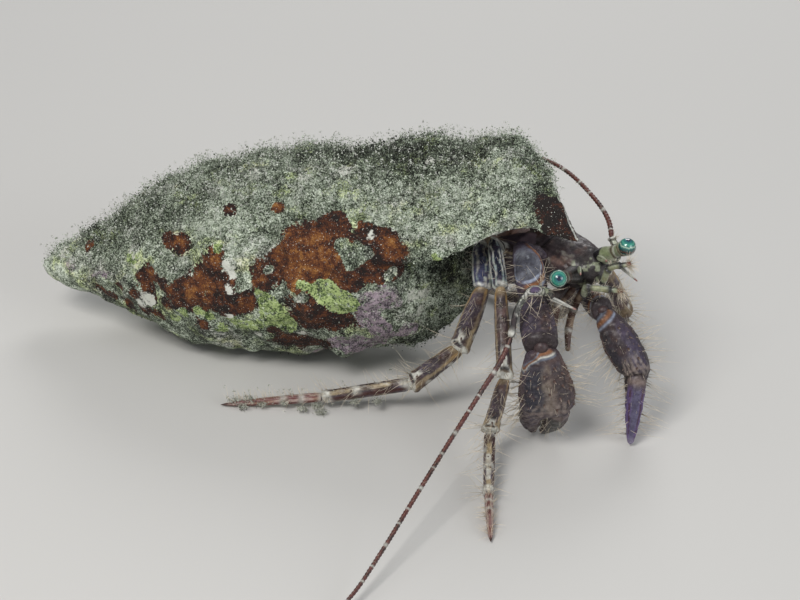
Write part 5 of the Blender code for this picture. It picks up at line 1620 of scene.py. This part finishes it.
class CRAB_OT_feelers(bpy.types.Operator):
    """Builds the feelers, their scales and the leg-like mouthparts"""

    bl_idname = "hermit_crab.feelers"
    bl_label = "Feelers"

    def execute(self, context):
        look = looks(context.scene.hermit_shell)
        settings = context.scene.hermit_animal
        for side in ("right", "left"):
            self.antenna_root(side, look["feeler"], settings)
            self.whip(side, look["feeler"], settings)
            self.antennule(side, look["feeler"], settings)
            self.mouth_leg(side, look["leg"], settings)
        self.scales(look["feeler"])
        return {"FINISHED"}

    def rooted(self, root, points):
        """The points of a feeler's path, from the place where it leaves the body."""
        point, _ = on_body(body_point(*root), points[0])
        return [point] + [np.array(step) for step in points]

    def antenna_root(self, side, look, settings):
        """A stout root of three knuckles: a tube that swells at each."""
        root, radii, points = ANTENNA_ROOTS[side]
        stem = tube(self.rooted(root, points), radii, (0, -1, 1), sides=28, rings=120)
        place, turn = stem.place_grid, stem.turn_grid
        knots = ((0.1, 0.34, 0.05), (0.12, 0.62, 0.05), (0.1, 0.97, 0.03), (-0.07, 0.42, 0.02),
                 (-0.07, 0.7, 0.02))
        knuckles = sum(height * hump(place, at, width) for height, at, width in knots)
        stem.swell(knuckles + 0.03 * layers(stem.rings, 0.5, 71))
        pale = blend(SAGE * 1.15, WHITE_MARK, clouds(stem.rings, 0.5, 73, -0.2, 0.4))
        ground = blend(DARK_HORN * 1.4, BROWN_HORN, clouds(stem.rings, 0.5, 77, -0.2, 0.4))
        broken = fade(np.cos(turn) + 0.9 * layers(stem.rings, 0.6, 75), -0.1, 0.35)
        marks = blend(ground * 0.5, pale, broken * (fade(place, 0.46, 0.54) if side == "right" else 1.0))
        marks = blend(marks, BLACK_MARK, 0.9 * fade(-np.abs(layers(stem.rings, 0.45, 79)), -0.26, -0.13))
        eyespot = np.hypot((place - 0.64) / 0.035, turn / 0.7)
        marks = blend(marks, BLACK_MARK, 0.85 * fade(-eyespot, -1.75, -1.5))
        marks = blend(marks, WHITE_MARK, fade(-eyespot, -1.45, -1.3))
        marks = blend(marks, BLACK_MARK, fade(-eyespot, -1.15, -1.0))
        marks = blend(marks, SPOT_VIOLET, fade(-eyespot, -1.0, -0.8))
        marks = blend(marks, WHITE_MARK, hump(place, 0.97, 0.025))
        flanks = fade(-np.abs(np.abs(turn) - 1.25), -0.3, -0.1) * fade(place, 0.6, 0.7)
        marks = blend(marks, BLACK_MARK, 0.8 * flanks)
        stem.add(f"antenna_root_{side}_horn", look, marks, "feeler_horn", [f"antenna_root_{side}"])
        longest = 0.85 if side == "right" else 0.4
        rows = [(24, 0.5, 0.75, 0.0, 1.9, longest), (12, 0.9, 0.99, 0.0, 1.5, 0.4)]
        add_hairs(stem, rows, 71, settings)

    def whip(self, side, look, settings):
        """A long whip of many short rings, maroon with a pale line and a white ring every few."""
        line = WHIPS[side]
        length = np.linalg.norm(np.diff(line, axis=0), axis=1).sum()
        rings = int(length / 0.36)
        whip = tube(line, WHIP_RADII, (0, -1, 1), sides=14, rings=rings * 6 + 1)
        beat = whip.place_grid * rings
        whip.swell(0.02 * np.cos(2 * math.pi * beat))
        marks = blend(MAROON * 0.6, MAROON * 0.15, fade(noise(whip.rings, 0.6, 81), -0.2, 0.6))
        marks = blend(marks, WHIP_LINE, 0.45 * fade(-np.abs(whip.turn_grid), -0.34, -0.14))
        spacing = whip.place_grid * length / 2.15
        white = hump(np.mod(spacing + 0.16 * np.sin(spacing * 2.1), 1.0), 0.5, 0.055)
        marks = blend(marks, WHITE_MARK * 0.8, white)
        whip.add(f"antenna_whip_{side}_horn", look, marks, "feeler_horn", [f"antenna_whip_{side}"])
        add_hairs(whip, [(160, 0.03, 0.97, 0.0, 1.6, 0.13)], 83, settings)

    def antennule(self, side, look, settings):
        """A small jointed feeler, pale with dark joints, that ends in a tuft."""
        root, radii, points = ANTENNULES[side]
        path = self.rooted(root, points)
        feeler = tube(path, radii, (0, -1, 1), sides=20, rings=110)
        place = feeler.place_grid
        joints = (0.33, 0.6, 0.84)
        knobs = [0.07 * hump(place, at - 0.03, 0.03) - 0.05 * hump(place, at + 0.015, 0.015) for at in joints]
        feeler.swell(sum(knobs))
        marks = blend(SAGE, OLIVE, clouds(feeler.rings, 0.5, 91, -0.2, 0.4))
        for at in joints:
            marks = blend(marks, BLACK_MARK, hump(place, at, 0.04))
        marks = blend(marks, BLACK_MARK, 0.85 * fade(-np.cos(feeler.turn_grid), -0.1, 0.4))
        marks = blend(marks, TUFT_BROWN, 0.9 * fade(place, 0.9, 0.96))
        feeler.add(f"antennule_{side}_horn", look, marks, "feeler_horn", [f"antennule_{side}"])
        add_hairs(feeler, [(70, 0.93, 0.99, 0.0, 2.0, 0.42), (20, 0.5, 0.9, 3.0, 0.6, 0.3)], 93, settings)

    def mouth_leg(self, side, look, settings):
        """A small leg beside the mouth, with a fringe."""
        root, radii, points = MOUTH_LEGS[side]
        part = tube(self.rooted(root, points), radii, (0, -1, 1), sides=20, rings=90)
        place = part.place_grid
        part.swell(0.05 * hump(place, 0.4, 0.04) + 0.05 * hump(place, 0.7, 0.04))
        marks = blend(BROWN_HORN, MOUTH_TAN, clouds(part.rings, 0.8, 95, -0.2, 0.4))
        marks = blend(marks, WHITE_MARK, 0.7 * (hump(place, 0.42, 0.03) + hump(place, 0.72, 0.03)))
        part.add(f"maxilliped_{side}_horn", look, marks, "leg_horn", [f"maxilliped_{side}"])
        add_hairs(part, [(80, 0.3, 0.99, 0.5, 1.2, 0.42)], 97, settings)

    def scales(self, look):
        """Pointed scales beside the eyes and feelers: thin tapered blades."""
        blades = {
            "feeler_scale_right": ((22.95, -16.75, 13.45), (25.5, -16.1, 11.85), 0.19, WHITE_MARK),
            "feeler_scale_left": ((29.3, -9.3, 12.9), (31.0, -11.6, 12.2), 0.18, WHITE_MARK),
            "eye_scale_right": ((25.9, -12.6, 14.0), (25.9, -14.6, 14.35), 0.26, SAGE),
            "eye_scale_left": ((27.5, -11.6, 14.5), (28.2, -13.2, 14.9), 0.26, SAGE),
        }
        for name, (start, end, half, tint) in blades.items():
            widths = [(0, half * 0.8, half * 0.55), (0.3, half, half * 0.6), (0.7, half * 0.7, half * 0.4),
                      (1, 0.06, 0.05)]
            blade = sweep(start, end, widths, (0.2, 0.3, 1.0), (0, -1, 1), rings=50, sides=24,
                          ends=(0.3, 0.1))
            place, turn = blade.place_grid, blade.turn_grid
            marks = blend(tint, tint * 0.8, clouds(blade.rings, 0.4, 99, -0.3, 0.4))
            marks = blend(marks, BLACK_MARK, 0.85 * fade(-np.cos(turn), 0.35, 0.7))
            marks = blend(marks, BLACK_MARK, 0.7 * line_at(turn, 0.5, 0.12, 0.15) * fade(-place, -0.7, -0.5))
            marks = blend(marks, SCALE_PINK, fade(place, 0.8, 0.95))
            blade.add(name, look, marks, "feeler_horn")


# Clumps of silt that hang on the third right leg: middle and reach
SILT_CLUMPS = [
    (-3.6, -11.9, 0.7, 0.4), (-2.3, -11.9, 0.85, 0.45), (-1.2, -12.3, 0.6, 0.35), (-2.9, -12.5, 0.4, 0.35),
    (0.7, -12.3, 0.7, 0.3), (2.3, -12.9, 0.5, 0.35), (3.6, -12.7, 0.6, 0.35), (4.0, -13.3, 0.4, 0.4),
    (8.8, -12.9, 1.2, 0.35), (6.9, -12.7, 1.0, 0.3),
]


class CRAB_OT_hairs(bpy.types.Operator):
    """Plants every stiff hair noted on limbs and feelers, and the silt that clings to one leg"""

    bl_idname = "hermit_crab.hairs"
    bl_label = "Stiff hairs"

    def execute(self, context):
        look = looks(context.scene.hermit_shell)
        settings = context.scene.hermit_animal
        roots = np.vstack([at for at, _, _ in HAIRS])
        ways = np.vstack([way for _, way, _ in HAIRS])
        lengths = np.concatenate([length for _, _, length in HAIRS])
        ways[:, 2] = np.where(roots[:, 2] < 0.8, np.abs(ways[:, 2]), ways[:, 2])
        reach = roots[:, 2] + lengths * np.minimum(ways[:, 2], 0.0)
        keep = reach > 0.05
        roots, ways, lengths = roots[keep], ways[keep], lengths[keep]
        radius = 0.014 + 0.014 * np.clip(lengths / 1.8, 0, 1)
        points, faces, place = scatter(roots, ways, lengths, radius, bend=0.12, seed=31, rings=5)
        lift(points)
        tint = np.array(settings.hair_colour)
        marks = blend(tint * 0.8, tint * 1.35, fade(place, 0.0, 0.6))
        column = np.repeat(np.arange(len(roots)) / len(roots), len(points) // len(roots))
        spread = np.column_stack([column * 0.98, 0.3 + 0.003 * place])
        add_piece("stiff_hairs", points, faces, look["hair"], marks, slot="leg_horn", unwrap=spread)
        self.spines(look["claw"])
        self.clinging_silt(look["turf"], (roots + lengths[:, None] * ways)[lengths > 1.0])
        return {"FINISHED"}

    def spines(self, look):
        """Every spine noted on limbs: a tapered seven-sided cone, dark at its foot and pale at its tip."""
        roots, ways = (np.vstack([row[k] for row in SPINES]) for k in (0, 1))
        lengths, radius = (np.concatenate([row[k] for row in SPINES]) for k in (2, 3))
        points, faces, place = scatter(roots, ways, lengths, radius, bend=0.12, seed=41, sides=7, rings=5)
        lift(points)
        marks = blend(BROWN_HORN * 0.8, SPINE_TIP, fade(place, 0.4, 1.0))
        add_piece("limb_spines", points, faces, look, marks, slot="claw_horn")

    def clinging_silt(self, look, tips):
        """Clumps of silt on the outermost segments of the third right leg, and specks of it on long hairs."""
        rng = np.random.default_rng(77)
        middles = np.vstack([
            np.array(spot[:3]) + rng.normal(0, spot[3] * 0.55, (170, 3)) * (1.2, 1.0, 0.7)
            for spot in SILT_CLUMPS
        ])
        tips = tips[(tips[:, 0] < 14) & (tips[:, 1] < -8) & (rng.random(len(tips)) < 0.25)]
        specks = np.repeat(tips - (0, 0, 0.1), 5, axis=0) + rng.normal(0, 0.09, (len(tips) * 5, 3))
        middles = np.vstack([middles, specks])
        lift(middles, 0.12)
        points, faces = grains(middles, 0.03 + 0.05 * rng.beta(1.2, 3.0, len(middles)), 79)
        tone = blend(SILT_DARK, SILT_LIGHT, rng.random(len(middles)))
        lift(points)
        spread = rng.random((len(middles), 2)) * 0.2 + 0.7
        marks, spread = (np.repeat(rows, len(GRAIN), axis=0) for rows in (tone, spread))
        add_piece("clinging_silt", points, faces, look, marks, slot="leg_horn", unwrap=spread)


class StageSettings(bpy.types.PropertyGroup):
    """What a user would change on the stage."""

    distance: FloatProperty(name="Camera distance", description="From the camera to what it looks at",
                            default=215 * MM, min=50 * MM, unit="LENGTH")
    elevation: FloatProperty(name="Camera elevation", description="How far above level the camera stands",
                             default=math.radians(27.5), subtype="ANGLE")
    lens: FloatProperty(name="Lens", description="Focal length of the camera",
                        default=107.5, subtype="DISTANCE_CAMERA")
    floor_colour: FloatVectorProperty(name="Floor colour", description="Colour of the floor",
                                      default=(0.62, 0.61, 0.59), subtype="COLOR", min=0.0, max=1.0)
    key_power: FloatProperty(name="Key light", description="Power of the main light",
                             default=0.72, unit="POWER")


class CRAB_OT_stage(bpy.types.Operator):
    """Sets out the floor, soft lights and the camera"""

    bl_idname = "hermit_crab.stage"
    bl_label = "Stage"

    def execute(self, context):
        settings = context.scene.hermit_stage
        target = LOOK_AT * MM
        self.floor(settings)
        lights = (
            ("key", (-0.10, -0.20, 0.26), 0.13, 1.0, (1.0, 0.98, 0.95)),
            ("fill", (0.24, -0.20, 0.12), 0.16, 0.4, (0.94, 0.97, 1.0)),
            ("back", (0.06, 0.24, 0.20), 0.14, 0.45, (1.0, 1.0, 1.0)),
        )
        for name, place, size, share, colour in lights:
            data = bpy.data.lights.new(name, "AREA")
            data.size = size
            data.energy = settings.key_power * share
            data.color = colour
            self.aim(bpy.data.objects.new(name, data), np.array(place), target)
        world = bpy.data.worlds.new("studio")
        world.use_nodes = True
        world.node_tree.nodes["Background"].inputs["Color"].default_value = (0.85, 0.88, 0.92, 1.0)
        world.node_tree.nodes["Background"].inputs["Strength"].default_value = 0.34
        context.scene.world = world
        data = bpy.data.cameras.new("photo_view")
        data.lens = settings.lens
        data.clip_start = 0.005
        back = np.array((0.0, -math.cos(settings.elevation), math.sin(settings.elevation)))
        camera = bpy.data.objects.new("photo_view", data)
        self.aim(camera, target + settings.distance * back, target)
        context.scene.camera = camera
        context.scene.view_settings.view_transform = "Standard"
        return {"FINISHED"}

    def aim(self, made, place, target):
        bpy.context.scene.collection.objects.link(made)
        made.location = place
        made.rotation_euler = Vector(target - place).to_track_quat("-Z", "Y").to_euler()

    def floor(self, settings):
        """A level floor that curves up far behind, as a sheet: straight, a quarter circle, straight."""
        across_floor = np.linspace(-1.6, 1.6, 9)
        bend = np.radians(np.linspace(0, 90, 24))
        depth = np.concatenate([[-1.6], 0.9 + 0.4 * np.sin(bend), [1.3]])
        height = np.concatenate([[0], 0.4 - 0.4 * np.cos(bend), [1.6]])
        x, y = np.meshgrid(across_floor, depth)
        z = np.repeat(height[:, None], len(across_floor), axis=1)
        index = np.arange(x.size).reshape(x.shape)
        quads = np.stack([index[:-1, :-1], index[:-1, 1:], index[1:, 1:], index[1:, :-1]], -1).reshape(-1, 4)
        data = bpy.data.meshes.new("studio_floor")
        data.from_pydata(np.stack([x, y, z], -1).reshape(-1, 3).tolist(), [], quads.tolist())
        data.shade_smooth()
        look = Look("studio_floor", Roughness=0.9)
        soft = look.node("ShaderNodeTexNoise", None, {"Vector": look.place, "Scale": 9.0, "Detail": 2.0})
        tint = tuple(settings.floor_colour)
        data.materials.append(look.finish(look.mix(tint, tuple(0.97 * part for part in tint), soft)))
        made = bpy.data.objects.new("studio_floor", data)
        bpy.context.scene.collection.objects.link(made)


OPERATORS = (
    CRAB_OT_shell, CRAB_OT_legs, CRAB_OT_claws, CRAB_OT_joints, CRAB_OT_body, CRAB_OT_feelers, CRAB_OT_hairs,
    CRAB_OT_stage,
)


class CRAB_PT_panel(bpy.types.Panel):
    """Lists every setting and every operator in the sidebar"""

    bl_label = "Hermit crab"
    bl_idname = "CRAB_PT_panel"
    bl_space_type = "VIEW_3D"
    bl_region_type = "UI"
    bl_category = "Hermit crab"

    def draw(self, context):
        for group in (context.scene.hermit_shell, context.scene.hermit_animal, context.scene.hermit_stage):
            for name in group.__annotations__:
                self.layout.prop(group, name)
        for operator in OPERATORS:
            self.layout.operator(operator.bl_idname)


CLASSES = (ShellSettings, AnimalSettings, StageSettings, *OPERATORS, CRAB_PT_panel)


def register():
    for item in CLASSES:
        bpy.utils.register_class(item)
    bpy.types.Scene.hermit_shell = PointerProperty(type=ShellSettings)
    bpy.types.Scene.hermit_animal = PointerProperty(type=AnimalSettings)
    bpy.types.Scene.hermit_stage = PointerProperty(type=StageSettings)


def unregister():
    del bpy.types.Scene.hermit_stage
    del bpy.types.Scene.hermit_animal
    del bpy.types.Scene.hermit_shell
    for item in reversed(CLASSES):
        bpy.utils.unregister_class(item)


def main():
    register()
    for operator in OPERATORS:
        group, name = operator.bl_idname.split(".")
        getattr(getattr(bpy.ops, group), name)()


if __name__ == "__main__":
    main()
